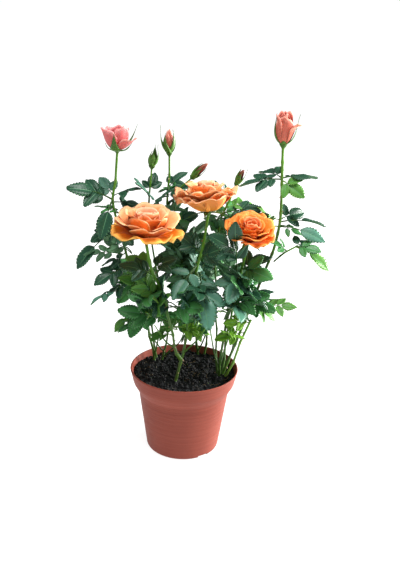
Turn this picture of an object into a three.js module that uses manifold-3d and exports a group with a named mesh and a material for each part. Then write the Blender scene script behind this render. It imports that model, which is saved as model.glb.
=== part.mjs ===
// A patio rose bush in its plastic grower's pot. Four rooted clumps of canes rise from the soil,
// run up through sprays and masses of leaves, and end in blooms and buds.
// Millimetres, +Z up. The origin is the middle of the pot's flat underside, and -Y is the front.
import * as THREE from "three";
import { mergeVertices } from "three/addons/utils/BufferGeometryUtils.js";
import Module from "manifold-3d";

const wasm = await Module();
wasm.setup();

// ---- driving dimensions ----

const GAP = 0.5; // clearance between solids that lie against each other
const WALL_GAP = 0.75; // clearance between the soil and the pot's wall
const UP = new THREE.Vector3(0, 0, 1);

const POT = {
  rimRadius: 60,
  height: 96,
  wall: 1.8,
  lip: 1.2, // height of the thin edge above the collar
  collarDepth: 20,
  collarFootRadius: 55.6,
  bodyTopRadius: 51.4,
  baseRadius: 41,
  rounding: 4, // of the corner between the body and the underside
  floor: 2.4,
  hollowFrom: 24, // the underside is hollowed between these two radii
  hollowTo: 35,
  hollowDepth: 1.2,
  slots: 3, // drainage slots through the corner of the base
  slotWidth: 13,
  slotHeight: 3.4,
  slotReach: 10, // through the wall
  slotInset: 2.5, // from the foot of the wall in to the middle of a slot
  slotOverrun: 1, // below the underside
  slotBearing: -53, // of the first slot
  sides: 32,
};
const COLLAR_FOOT = POT.height - POT.collarDepth;
const SHOULDER = POT.collarFootRadius - POT.bodyTopRadius;

// A rounded corner has one point between its ends, at this share of its size.
const EASE = 0.3;
// The shoulder under the collar turns in by this share of its size below the collar's foot, and
// again above it.
const SHOULDER_TURN = 0.6;

const HEADROOM = 5.5; // from the soil up to the rim
const GROUND = POT.height - HEADROOM; // the level that the canes grow from

// Where the four rooted clumps stand in the soil.
const CLUMPS = {
  left: [-31, 25],
  front: [-8, -24],
  back: [18, 42],
  right: [41, -6],
};

const CANE_SIDES = 6;
const RING_STEP = 25; // length of cane from one ring of its mesh to the next
const FLARE = 0.15; // how much wider a cane is where it leaves the soil
const FLARE_HEIGHT = 12;
const HALVINGS = 20; // of a cane, to find the point of it at a height

const COLOURS = {
  pot: 0xbd6652,
  soil: 0x211d1c,
  caneOld: 0x3f6a2c,
  caneYoung: 0x7fa83c,
  leafDark: 0x2c5a44,
  leafMid: 0x3c6e3a,
  leafYoung: 0x6fa23c,
  apricot: 0xf49a63,
  orange: 0xf08c3c,
  pink: 0xe8746c,
  sepal: 0x4f7d33,
};
const ROUGHNESS = { pot: 0.5, soil: 0.95, cane: 0.5, bloom: 0.65, leaves: 0.55 };

// A cane of a clump leaves the soil at its foot, a little off the clump's middle. A shoot leaves
// another cane at its root. Both pass through their bends to their tip, and taper.
const CANES = {
  cane_right_tall: {
    clump: "right",
    foot: [2, 1],
    bends: [[60, -7, 144], [80, -8, 208], [94, -4, 256]],
    tip: [93.5, 0, 344],
    thick: 3.6,
    thin: 2.6,
    colour: COLOURS.caneOld,
  },
  cane_right_pale: {
    clump: "right",
    foot: [5, -4],
    bends: [[58, -16, 126]],
    tip: [70, -20, 164],
    thick: 3.0,
    thin: 2.2,
    colour: COLOURS.caneYoung,
  },
  cane_right_bloom: {
    clump: "right",
    foot: [-2, -3.5],
    bends: [[43, -14, 150], [55, -21, 205]],
    tip: [62, -27, 252],
    thick: 3.2,
    thin: 2.6,
    colour: COLOURS.caneOld,
  },
  cane_right_inner: {
    clump: "right",
    foot: [-4, 2],
    bends: [[33, 3, 155], [31, 12, 210], [35, 20, 262]],
    tip: [48.5, 25, 298],
    thick: 2.6,
    thin: 1.8,
    colour: COLOURS.caneYoung,
  },
  cane_right_back: {
    clump: "right",
    foot: [1, 6],
    bends: [[48, 18, 138]],
    tip: [60, 42, 200],
    thick: 3.0,
    thin: 2.2,
    colour: COLOURS.caneOld,
  },
  cane_front_centre: {
    clump: "front",
    foot: [-0.6, -1.5],
    bends: [[-2.8, -23, 113], [1, -21, 145], [7, -19, 196], [15, -12, 238]],
    tip: [20.5, -6, 274],
    thick: 3.4,
    thin: 2.6,
    colour: COLOURS.caneYoung,
  },
  cane_front_left: {
    root: [-2.8, -23, 113],
    bends: [[-7.5, -27, 125], [-12, -32, 142], [-20, -38, 187], [-35, -45, 230]],
    tip: [-41, -44, 256],
    thick: 3.1,
    thin: 2.8,
    colour: COLOURS.caneYoung,
  },
  cane_left_tall: {
    clump: "left",
    foot: [-4, -2],
    bends: [[-44, 20, 145], [-61, 14, 209], [-79, 15, 272]],
    tip: [-76, 19, 330],
    thick: 3.2,
    thin: 2.4,
    colour: COLOURS.caneOld,
  },
  cane_left_inner: {
    clump: "left",
    foot: [5, 1],
    bends: [[-20, 27, 130], [-31, 26, 185], [-43, 25, 262]],
    tip: [-40.5, 25, 313],
    thick: 2.6,
    thin: 1.7,
    colour: COLOURS.caneYoung,
  },
  cane_left_back: {
    clump: "left",
    foot: [-2, 6],
    bends: [[-42, 38, 140]],
    tip: [-57, 50, 196],
    thick: 2.8,
    thin: 2.0,
    colour: COLOURS.caneOld,
  },
  cane_back_left: {
    clump: "back",
    foot: [-3, 1],
    bends: [[10, 43, 132], [-3, 38, 190], [-22, 36, 262]],
    tip: [-22.5, 35, 325],
    thick: 3.0,
    thin: 2.0,
    colour: COLOURS.caneYoung,
  },
  cane_back_right: {
    clump: "back",
    foot: [4, 0],
    bends: [[25, 46, 140]],
    tip: [16, 62, 206],
    thick: 2.8,
    thin: 2.0,
    colour: COLOURS.caneYoung,
  },
  shoot_middle: {
    root: [-19, 32, 272],
    bends: [[-11, 31, 291]],
    tip: [1, 30, 303],
    thick: 2.0,
    thin: 1.6,
    colour: COLOURS.caneYoung,
  },
  branch_right: {
    root: [91, -10, 227],
    bends: [[101, -13, 238]],
    tip: [112, -16, 246],
    thick: 2.2,
    thin: 1.6,
    colour: COLOURS.caneOld,
  },
};

// A bloom's half profile from its foot to its top, as shares of its radius and height.
const PROFILES = {
  open: [[0, 0], [0.16, 0.02], [0.5, 0.2], [0.96, 0.5], [1, 0.66], [0.72, 0.88], [0.3, 1], [0, 1]],
  cup: [[0, 0], [0.28, 0.02], [0.4, 0.16], [0.72, 0.48], [1, 0.88], [0.8, 1], [0, 0.94]],
  bud: [[0, 0], [0.3, 0.02], [0.42, 0.14], [0.9, 0.32], [1, 0.5], [0.66, 0.86], [0.3, 1], [0, 1]],
};
const PROFILE_SIDES = { open: 16, cup: 12, bud: 8 };
const FOOT_SHARE = 0.1; // profile points below this share of the height belong to the foot
const TOP_SHARE = 0.9; // and those above this share belong to the top
const PETAL_LOBES = 5;
const LOBE_DEPTH = { open: 0.06, cup: 0.06, bud: 0 };

// A bloom or bud sits on the tip of a cane and carries on its direction, nodding by a share of its
// height to the right and to the front.
const BLOOMS = {
  bloom_left: { on: "cane_front_left", form: "open", radius: 35, height: 33, nod: [0.12, 0.1] },
  bloom_centre: { on: "cane_front_centre", form: "open", radius: 32, height: 35, nod: [-0.12, 0.1] },
  bloom_right: { on: "cane_right_bloom", form: "open", radius: 28, height: 29, nod: [0.02, 0.45] },
  bloom_opening: { on: "cane_left_tall", form: "cup", radius: 19, height: 26, nod: [0.06, 0] },
  bud_tall: { on: "cane_right_tall", form: "bud", radius: 12, height: 38, nod: [0, 0] },
  bud_pink: { on: "cane_back_left", form: "bud", radius: 7, height: 31, nod: [-0.02, 0] },
  bud_green: { on: "cane_left_inner", form: "bud", radius: 5, height: 28, nod: [0.04, 0] },
  bud_red: { on: "shoot_middle", form: "bud", radius: 6, height: 23, nod: [0.1, 0] },
  bud_hidden: { on: "cane_right_inner", form: "bud", radius: 6, height: 17, nod: [-0.3, 0] },
};
const BLOOM_COLOURS = {
  bloom_left: COLOURS.apricot,
  bloom_centre: COLOURS.apricot,
  bloom_right: COLOURS.orange,
  bud_green: COLOURS.sepal,
  bud_hidden: COLOURS.sepal,
};

// A mass of leaves is held by a cane, at this height. It reaches out along its bearing (0 is to
// the right, 90 to the back), rising or falling by its slope. The cane passes through it at the
// heel, a share of its length.
const MASSES = {
  leaves_top_left: {
    on: "cane_left_tall", height: 283, bearing: 184, slope: 12, heel: 0.36, size: [76, 46, 40],
  },
  leaves_left: {
    on: "cane_left_tall", height: 244, bearing: 192, slope: -25, heel: 0.18, size: [70, 40, 34],
  },
  leaves_left_low: {
    on: "cane_left_tall", height: 194, bearing: 212, slope: -6, heel: 0.08, size: [60, 42, 38],
  },
  leaves_low_left: {
    on: "cane_left_tall", height: 152, bearing: 240, slope: -6, heel: 0.1, size: [60, 36, 18],
  },
  leaves_front_left: {
    on: "cane_front_left", height: 197, bearing: 185, slope: 0, heel: 0.15, size: [52, 42, 86],
  },
  leaves_front: {
    on: "cane_front_centre", height: 193, bearing: 278, slope: 0, heel: 0.08, size: [52, 54, 70],
  },
  leaves_front_right: {
    on: "cane_right_bloom", height: 210, bearing: 285, slope: 0, heel: 0.08, size: [46, 52, 84],
  },
  leaves_core: {
    on: "cane_back_left", height: 216, bearing: 290, slope: 0, heel: 0.06, size: [58, 88, 104],
  },
  leaves_right_low: {
    on: "cane_right_tall", height: 175, bearing: 345, slope: 6, heel: 0.12, size: [60, 32, 19],
  },
  leaves_right_branch: {
    on: "branch_right", height: 243, bearing: 356, slope: -24, heel: 0.28, size: [60, 30, 22],
  },
  leaves_right: {
    on: "cane_right_tall", height: 273, bearing: 5, slope: -12, heel: 0.2, size: [60, 38, 26],
  },
  leaves_right_top: {
    on: "cane_right_tall", height: 311, bearing: 0, slope: 0, heel: 0.5, size: [78, 38, 22],
  },
  leaves_top_middle: {
    on: "cane_back_left", height: 290, bearing: 185, slope: 0, heel: 0.48, size: [54, 42, 44],
  },
  leaves_top_centre: {
    on: "cane_right_inner", height: 264, bearing: 80, slope: 0, heel: 0.3, size: [34, 42, 52],
  },
  leaves_top_right: {
    on: "cane_right_inner", height: 270, bearing: 358, slope: 0, heel: 0.04, size: [56, 34, 44],
  },
  leaves_low_inner: {
    on: "cane_right_bloom", height: 152, bearing: 285, slope: 0, heel: 0.1, size: [30, 38, 24],
  },
  leaves_low_middle: {
    on: "cane_front_centre", height: 152, bearing: 100, slope: 0, heel: 0.3, size: [40, 48, 26],
  },
  leaves_back_left: {
    on: "cane_left_back", height: 188, bearing: 125, slope: 10, heel: 0.4, size: [68, 58, 64],
  },
  leaves_back: {
    on: "cane_back_right", height: 196, bearing: 105, slope: 10, heel: 0.3, size: [60, 70, 68],
  },
  leaves_back_right: {
    on: "cane_right_back", height: 190, bearing: 60, slope: 10, heel: 0.4, size: [62, 60, 64],
  },
  leaves_back_low: {
    on: "cane_back_right", height: 148, bearing: 100, slope: -5, heel: 0.3, size: [44, 66, 26],
  },
};
const LEAF_COLOURS = {
  leaves_left_low: COLOURS.leafMid,
  leaves_low_left: COLOURS.leafMid,
  leaves_right_low: COLOURS.leafYoung,
  leaves_right_branch: COLOURS.leafYoung,
  leaves_right_top: COLOURS.leafMid,
  leaves_top_right: COLOURS.leafMid,
  leaves_low_inner: COLOURS.leafYoung,
  leaves_low_middle: COLOURS.leafYoung,
  leaves_back: COLOURS.leafMid,
  leaves_back_low: COLOURS.leafMid,
};
const MASS_DETAIL = 2; // how often an icosahedron's edges are split
const MASS_GIRTH = 0.95; // how much of its size a mass takes up, but for its lumps
const MASS_TAPER = 0.25; // how much slimmer a mass is at its far end
// Lumps of about a leaf's size: how high they are, and their waves along a mass's length, width
// and depth.
const LUMPS = { broad: 0.07, fine: 0.13 };
const WAVES = { broad: [2.3, 2.1, 2.7], fine: [5.1, 4.7, 4.3] };
// Each mass has its own number. That many of these shifts move its waves.
const SHIFTS = { broad: [1, -1.7, 2.2], fine: [-1, 1.3, 0.6] };

// ---- solids ----

// Turns a closed geometry into a solid that can be joined and cut.
function toSolid(geometry) {
  const bare = new THREE.BufferGeometry();
  bare.setAttribute("position", geometry.getAttribute("position"));
  bare.setIndex(geometry.index);
  const merged = mergeVertices(bare, 1e-3);
  return new wasm.Manifold(
    new wasm.Mesh({
      numProp: 3,
      vertProperties: merged.getAttribute("position").array,
      triVerts: new Uint32Array(merged.index.array),
    }),
  );
}

function toGeometry(solid) {
  const { vertProperties, triVerts } = solid.getMesh();
  const geometry = new THREE.BufferGeometry();
  geometry.setAttribute("position", new THREE.BufferAttribute(vertProperties, 3));
  geometry.setIndex(new THREE.BufferAttribute(triVerts, 1));
  return geometry;
}

// A cut can leave crumbs beside the body that it shapes. They are dropped.
function largestBody(solid) {
  return solid.decompose().reduce((a, b) => (b.volume() > a.volume() ? b : a));
}

// Moves every vertex of a geometry to where the function puts it.
function reshape(geometry, where) {
  const place = geometry.getAttribute("position");
  for (let i = 0; i < place.count; i++) {
    place.setXYZ(i, ...where(place.getX(i), place.getY(i), place.getZ(i)));
  }
  return geometry;
}

// A solid of revolution about Z, from a profile of radii and heights.
function turned(profile, sides) {
  const points = profile.map(([radius, height]) => new THREE.Vector2(radius, height));
  return new THREE.LatheGeometry(points, sides).rotateX(Math.PI / 2);
}

// ---- pot and soil ----

// The pot's inner radius at a height, a wall's thickness inside its collar or its body.
function innerRadius(z) {
  const outer =
    z < COLLAR_FOOT
      ? THREE.MathUtils.mapLinear(z, 0, COLLAR_FOOT, POT.baseRadius, POT.bodyTopRadius)
      : THREE.MathUtils.mapLinear(z, COLLAR_FOOT, POT.height, POT.collarFootRadius, POT.rimRadius);
  return outer - POT.wall;
}

function drainageSlot(index) {
  const bearing = POT.slotBearing + (index * 360) / POT.slots;
  return new THREE.BoxGeometry(POT.slotReach, POT.slotWidth, POT.slotHeight + POT.slotOverrun)
    .translate(POT.baseRadius - POT.slotInset, 0, (POT.slotHeight - POT.slotOverrun) / 2)
    .rotateZ(THREE.MathUtils.degToRad(bearing));
}

function potShell() {
  const underside = [
    [0, 0],
    [POT.hollowFrom, 0],
    [POT.hollowFrom + POT.hollowDepth, POT.hollowDepth],
    [POT.hollowTo - POT.hollowDepth, POT.hollowDepth],
    [POT.hollowTo, 0],
  ];
  const outside = [
    [POT.baseRadius - POT.rounding, 0],
    [POT.baseRadius - EASE * POT.rounding, EASE * POT.rounding],
    [POT.baseRadius, POT.rounding],
    [POT.bodyTopRadius, COLLAR_FOOT - SHOULDER_TURN * SHOULDER],
    [POT.collarFootRadius - EASE * SHOULDER, COLLAR_FOOT],
    [POT.collarFootRadius, COLLAR_FOOT + SHOULDER_TURN * SHOULDER],
    [POT.rimRadius - POT.lip, POT.height - 2 * POT.lip],
    [POT.rimRadius, POT.height - POT.lip],
    [POT.rimRadius - EASE * POT.lip, POT.height],
  ];
  const inside = [
    [innerRadius(POT.height), POT.height],
    [innerRadius(COLLAR_FOOT), COLLAR_FOOT],
    [innerRadius(COLLAR_FOOT - SHOULDER), COLLAR_FOOT - SHOULDER],
    [innerRadius(POT.rounding), POT.rounding],
    [innerRadius(POT.floor) - EASE * POT.rounding, POT.floor],
    [0, POT.floor],
  ];
  let shell = toSolid(turned([...underside, ...outside, ...inside], POT.sides));
  for (let i = 0; i < POT.slots; i++) {
    shell = shell.subtract(toSolid(drainageSlot(i)));
  }
  return toGeometry(shell);
}

// The root ball fills the pot, just clear of its wall and floor.
function soilPlug() {
  const bottom = POT.floor + GAP;
  return turned(
    [
      [0, bottom],
      [innerRadius(0) - POT.rounding, bottom],
      [innerRadius(2 * POT.rounding) - WALL_GAP, 2 * POT.rounding],
      [innerRadius(COLLAR_FOOT - SHOULDER) - WALL_GAP, COLLAR_FOOT - SHOULDER],
      [innerRadius(COLLAR_FOOT) - WALL_GAP, COLLAR_FOOT],
      [innerRadius(GROUND) - WALL_GAP, GROUND],
      [0, GROUND],
    ],
    POT.sides,
  );
}

// ---- canes ----

function centreLine(name) {
  const { clump, foot, root, bends, tip } = CANES[name];
  const start = root ?? [CLUMPS[clump][0] + foot[0], CLUMPS[clump][1] + foot[1], GROUND + GAP];
  const points = [start, ...bends, tip].map((point) => new THREE.Vector3(...point));
  return new THREE.CatmullRomCurve3(points, false, "centripetal");
}

// One tapering limb, thicker all over by the margin. Its rings are laid along its centre line, and
// a cane that grows from the soil is cut level there and flares a little.
function limb(name, margin = 0) {
  const { thick, thin, root } = CANES[name];
  const line = centreLine(name);
  const length = line.getLength();
  const rings = Math.max(2, Math.round(length / RING_STEP));
  const tube = new THREE.CylinderGeometry(1, 1, 1, CANE_SIDES, rings);
  return reshape(tube, (x, y, z) => {
    const t = THREE.MathUtils.clamp(y + 0.5, 0, 1);
    const ahead = t === 0 && !root ? UP : line.getTangentAt(t);
    const across = new THREE.Vector3(0, -1, 0).cross(ahead).normalize();
    const beside = new THREE.Vector3().crossVectors(across, ahead);
    const flare = root ? 0 : FLARE * Math.exp((-t * length) / FLARE_HEIGHT);
    const radius = 0.5 * THREE.MathUtils.lerp(thick, thin, t) * (1 + flare) + margin;
    const overrun = t === 1 ? margin : t === 0 ? -margin : 0;
    return line
      .getPointAt(t)
      .addScaledVector(across, x * radius)
      .addScaledVector(beside, z * radius)
      .addScaledVector(ahead, overrun);
  });
}

// The point of a cane's centre line at a height. Every cane rises all the way.
function caneAt(name, height) {
  const line = centreLine(name);
  let [low, high] = [0, 1];
  for (let i = 0; i < HALVINGS; i++) {
    const middle = (low + high) / 2;
    if (line.getPointAt(middle).z < height) {
      low = middle;
    } else {
      high = middle;
    }
  }
  return line.getPointAt(low);
}

// ---- blooms and buds ----

function bloom(name, margin = 0) {
  const { on, form, radius, height, nod } = BLOOMS[name];
  const profile = PROFILES[form].map(([r, h]) => [
    r === 0 ? 0 : r * radius + margin,
    h * height + (h > TOP_SHARE ? margin : 0) - (h < FOOT_SHARE ? margin : 0),
  ]);
  const solid = reshape(turned(profile, PROFILE_SIDES[form]), (x, y, z) => {
    const lobe = Math.sin(PETAL_LOBES * Math.atan2(y, x) + radius);
    const swell = 1 + LOBE_DEPTH[form] * (z / height) * lobe;
    return [x * swell, y * swell, z];
  });
  const line = centreLine(on);
  const facing = line.getTangentAt(1).add(new THREE.Vector3(nod[0], -nod[1], 0)).normalize();
  const lift = GAP + CANES[on].thin * Math.hypot(...nod);
  const seat = line.getPointAt(1).addScaledVector(facing, lift);
  const turn = new THREE.Quaternion().setFromUnitVectors(UP, facing);
  return solid.applyQuaternion(turn).translate(...seat);
}

// ---- masses of leaves ----

// How far the skin of a mass lies in or out in a direction.
function lumpiness(direction, seed) {
  const angle = (kind, i) => WAVES[kind][i] * direction[i] + SHIFTS[kind][i] * seed;
  const broad = Math.sin(angle("broad", 0)) * Math.cos(angle("broad", 1)) + Math.sin(angle("broad", 2));
  const fine = Math.sin(angle("fine", 0)) * Math.sin(angle("fine", 1)) * Math.cos(angle("fine", 2));
  return LUMPS.broad * broad + LUMPS.fine * fine;
}

function leafMass(name, margin = 0) {
  const { on, height, bearing, slope, heel, size } = MASSES[name];
  const seed = Object.keys(MASSES).indexOf(name) + 1;
  const [length, width, depth] = size;
  const blob = reshape(new THREE.IcosahedronGeometry(1, MASS_DETAIL), (x, y, z) => {
    const reach = MASS_GIRTH + lumpiness([x, y, z], seed);
    const slim = 1 - MASS_TAPER * x;
    return [
      x * (0.5 * length * reach + margin) + (0.5 - heel) * length,
      y * (0.5 * width * reach * slim + margin),
      z * (0.5 * depth * reach * slim + margin),
    ];
  });
  return blob
    .rotateY(-THREE.MathUtils.degToRad(slope))
    .rotateZ(THREE.MathUtils.degToRad(bearing))
    .translate(...caneAt(on, height));
}

// ---- assembly ----

const bush = new THREE.Group();

function add(name, geometry, color, roughness) {
  const mesh = new THREE.Mesh(geometry, new THREE.MeshStandardMaterial({ color, roughness, metalness: 0 }));
  mesh.name = name;
  bush.add(mesh);
}

add("pot", potShell(), COLOURS.pot, ROUGHNESS.pot);
add("soil", soilPlug(), COLOURS.soil, ROUGHNESS.soil);

// The space that is already held. Each solid is cut back from it before its own space, with its
// clearance, is held too. So a shoot stops at its cane, and a mass of leaves closes round the
// canes that run through it.
let held = toSolid(soilPlug());

function grow(name, shape, color, roughness) {
  const body = largestBody(toSolid(shape(name)).subtract(held));
  add(name, toGeometry(body), color, roughness);
  held = held.add(toSolid(shape(name, GAP)));
}

for (const name of Object.keys(CANES)) {
  grow(name, limb, CANES[name].colour, ROUGHNESS.cane);
}
for (const name of Object.keys(BLOOMS)) {
  grow(name, bloom, BLOOM_COLOURS[name] ?? COLOURS.pink, ROUGHNESS.bloom);
}
for (const name of Object.keys(MASSES)) {
  grow(name, leafMass, LEAF_COLOURS[name] ?? COLOURS.leafDark, ROUGHNESS.leaves);
}

export default bush;
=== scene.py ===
"""The looks of a potted rose bush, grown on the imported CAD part. Metres, with +Z up.

The canes, blooms and leaf masses of the CAD model say where everything is. Each is replaced by a
finished piece: relief skin on the canes, petals and sepals for the blooms, and compound leaves
that spring from the canes by a seeded rule inside each leaf mass.
"""

import math
import random

import bpy
import numpy as np
from mathutils import Matrix, Vector
from mathutils.bvhtree import BVHTree


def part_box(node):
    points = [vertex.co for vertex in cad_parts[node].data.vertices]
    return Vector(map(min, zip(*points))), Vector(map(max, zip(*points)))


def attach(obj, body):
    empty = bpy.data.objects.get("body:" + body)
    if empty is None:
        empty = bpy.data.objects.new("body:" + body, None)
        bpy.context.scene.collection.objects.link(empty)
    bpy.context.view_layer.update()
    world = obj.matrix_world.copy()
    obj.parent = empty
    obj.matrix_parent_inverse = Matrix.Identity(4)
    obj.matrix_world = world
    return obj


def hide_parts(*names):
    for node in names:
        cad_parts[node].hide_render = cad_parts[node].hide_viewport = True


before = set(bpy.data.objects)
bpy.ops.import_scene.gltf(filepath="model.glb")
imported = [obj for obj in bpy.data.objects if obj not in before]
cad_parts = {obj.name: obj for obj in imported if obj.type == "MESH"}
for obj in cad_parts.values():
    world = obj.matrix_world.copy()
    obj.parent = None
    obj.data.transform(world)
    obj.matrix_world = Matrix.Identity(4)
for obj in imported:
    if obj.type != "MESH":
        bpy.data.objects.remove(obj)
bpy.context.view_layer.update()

MM = 0.001
UP = np.array((0.0, 0.0, 1.0))
GOLDEN = math.radians(137.5)
FIRST_SIDE = np.array((0.9, 0.3, 0.31))  # any direction does that no path starts along


# ---- small helpers -------------------------------------------------------------------------


def unit(v):
    """v at length 1."""
    v = np.asarray(v, float)
    return v / np.linalg.norm(v)


def across(v, way):
    """The part of v that is square to way, at length 1."""
    return unit(v - way * np.dot(v, way))


def turned(v, axis, angle):
    """v turned about a unit axis, by an angle in radians."""
    return (v * math.cos(angle) + np.cross(axis, v) * math.sin(angle)
            + axis * np.dot(axis, v) * (1 - math.cos(angle)))


def heading(bearing, slope):
    """The direction at a bearing from +X towards +Y, and a slope above level, in degrees."""
    b, s = math.radians(bearing), math.radians(slope)
    return np.array((math.cos(b) * math.cos(s), math.sin(b) * math.cos(s), math.sin(s)))


def srgb(red, green, blue):
    """A screen colour in 0 to 255, as the linear colour that a shader takes."""
    return tuple(c / 12.92 if c <= 0.04045 else ((c + 0.055) / 1.055) ** 2.4
                 for c in (red / 255, green / 255, blue / 255))


def smooth_path(knots, step):
    """A curve through all the knots, with a point about every step."""
    knots = np.asarray(knots, float)
    ends = np.vstack([2 * knots[0] - knots[1], knots, 2 * knots[-1] - knots[-2]])
    runs = []
    for a, b, c, d in zip(ends, ends[1:], ends[2:], ends[3:]):
        count = max(2, round(np.linalg.norm((c - b)[:3]) / step))
        t = np.linspace(0, 1, count, endpoint=False)[:, None]
        bend = (2 * a - 5 * b + 4 * c - d) * t ** 2 + (3 * b - a - 3 * c + d) * t ** 3
        runs.append(0.5 * (2 * b + (c - a) * t + bend))
    return np.vstack(runs + [knots[-1:]])


def sides_along(path):
    """Two directions square to a path at each of its points, which don't twist along it."""
    ahead = np.gradient(path, axis=0)
    ahead /= np.linalg.norm(ahead, axis=1)[:, None]
    side = np.empty_like(path)
    side[0] = across(FIRST_SIDE, ahead[0])
    for i in range(1, len(path)):
        side[i] = across(side[i - 1], ahead[i])
    return side, np.cross(ahead, side)


def quads(index):
    """The four-cornered faces between neighbours in a grid of corner numbers."""
    return np.stack([index[:-1, :-1], index[1:, :-1], index[1:, 1:], index[:-1, 1:]], -1).reshape(-1, 4)


def hoop_quads(index):
    """The same, where the grid's last column also joins its first."""
    return quads(np.hstack([index, index[:, :1]]))


def ring_quads(rows, sides):
    """The faces of a closed ring, whose last row also joins its first."""
    index = np.arange(rows * sides).reshape(rows, sides)
    return hoop_quads(np.vstack([index, index[:1]]))


def blade_grid(rows, columns):
    """The faces of a closed blade: those of its top, and of an underside that shares its border."""
    top = np.arange(rows * columns).reshape(rows, columns)
    below = top.copy()
    below[1:-1, 1:-1] = top.size + np.arange((rows - 2) * (columns - 2)).reshape(rows - 2, columns - 2)
    return quads(top), quads(below)[:, ::-1]


def blade_corners(top, under):
    """The corners that blade_grid joins: the whole top, then the underside within its border."""
    return np.vstack([top.reshape(-1, 3), under.reshape(-1, 3)])


def blade_axes(way, face):
    """The axes of a blade that grows one way and faces another."""
    way = unit(way)
    face = across(face, way)
    return np.stack([way, np.cross(face, way), face])


def jolt(dice):
    """A random vector, with each of its parts from -1 to 1."""
    return np.array([dice.uniform(-1, 1) for _ in range(3)])


def new_object(name, data):
    """A new Blender object in the scene."""
    thing = bpy.data.objects.new(name, data)
    bpy.context.scene.collection.objects.link(thing)
    return thing


class Heap:
    """The corners and faces of one joined piece, gathered part by part."""

    def __init__(self):
        self.points, self.maps, self.faces, self.slots = [], [], [], []
        self.count = 0

    def add(self, points, faces, slots, maps=None):
        """Adds corners, faces as lists of their numbers, the material of each face, and a UV map."""
        points = np.asarray(points, float).reshape(-1, 3)
        faces = np.asarray(faces) + self.count
        self.points.append(points)
        self.maps.append(np.zeros((len(points), 2)) if maps is None else maps)
        self.faces.extend(faces.tolist())
        self.slots.append(np.full(len(faces), slots) if np.isscalar(slots) else np.asarray(slots))
        self.count += len(points)

    def piece(self, name, materials, slot, *stands_for):
        """The piece as a Blender object that rides on the plant's one body."""
        mesh = bpy.data.meshes.new(name)
        mesh.from_pydata(np.vstack(self.points).tolist(), [], self.faces)
        for material in materials:
            mesh.materials.append(material)
        mesh.polygons.foreach_set("material_index", np.concatenate(self.slots).astype(np.int32))
        mesh.polygons.foreach_set("use_smooth", np.ones(len(self.faces), bool))
        corners = np.empty(len(mesh.loops), np.int32)
        mesh.loops.foreach_get("vertex_index", corners)
        mesh.uv_layers.new(name="growth").data.foreach_set("uv", np.vstack(self.maps)[corners].ravel())
        mesh.update()
        piece = new_object(name, mesh)
        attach(piece, "root")
        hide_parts(*stands_for)
        return piece


def tube(heap, path, radii, sides, slot):
    """A closed tube along a path. Each row of radii may give one radius, or one for each side."""
    path = np.asarray(path, float)
    radii = np.asarray(radii, float).reshape(len(path), -1, 1)
    side, other = sides_along(path)
    angle = np.linspace(0, 2 * math.pi, sides, endpoint=False)[None, :, None]
    ring = np.cos(angle) * side[:, None] + np.sin(angle) * other[:, None]
    wall = path[:, None] + ring * radii
    index = np.arange(wall.shape[0] * sides).reshape(-1, sides)
    along = np.repeat(np.linspace(0, 1, len(path)), sides)
    maps = np.stack([np.tile(np.linspace(0, 1, sides), len(path)), along], -1)
    start = heap.count
    heap.add(wall, hoop_quads(index)[:, ::-1], slot, maps)
    for row, order, at in ((0, 1, 0.0), (len(path) - 1, -1, 1.0)):
        rim = index[row][::order] + start
        hub = heap.count
        fan = [(int(rim[i - 1]), int(rim[i]), hub) for i in range(sides)]
        heap.add(path[row][None], np.asarray(fan) - hub, slot, np.array([[0.5, at]]))


# ---- materials -----------------------------------------------------------------------------

NOISE_RANGE = (0.3, 0.7)  # where most of a noise node's output lies


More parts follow.
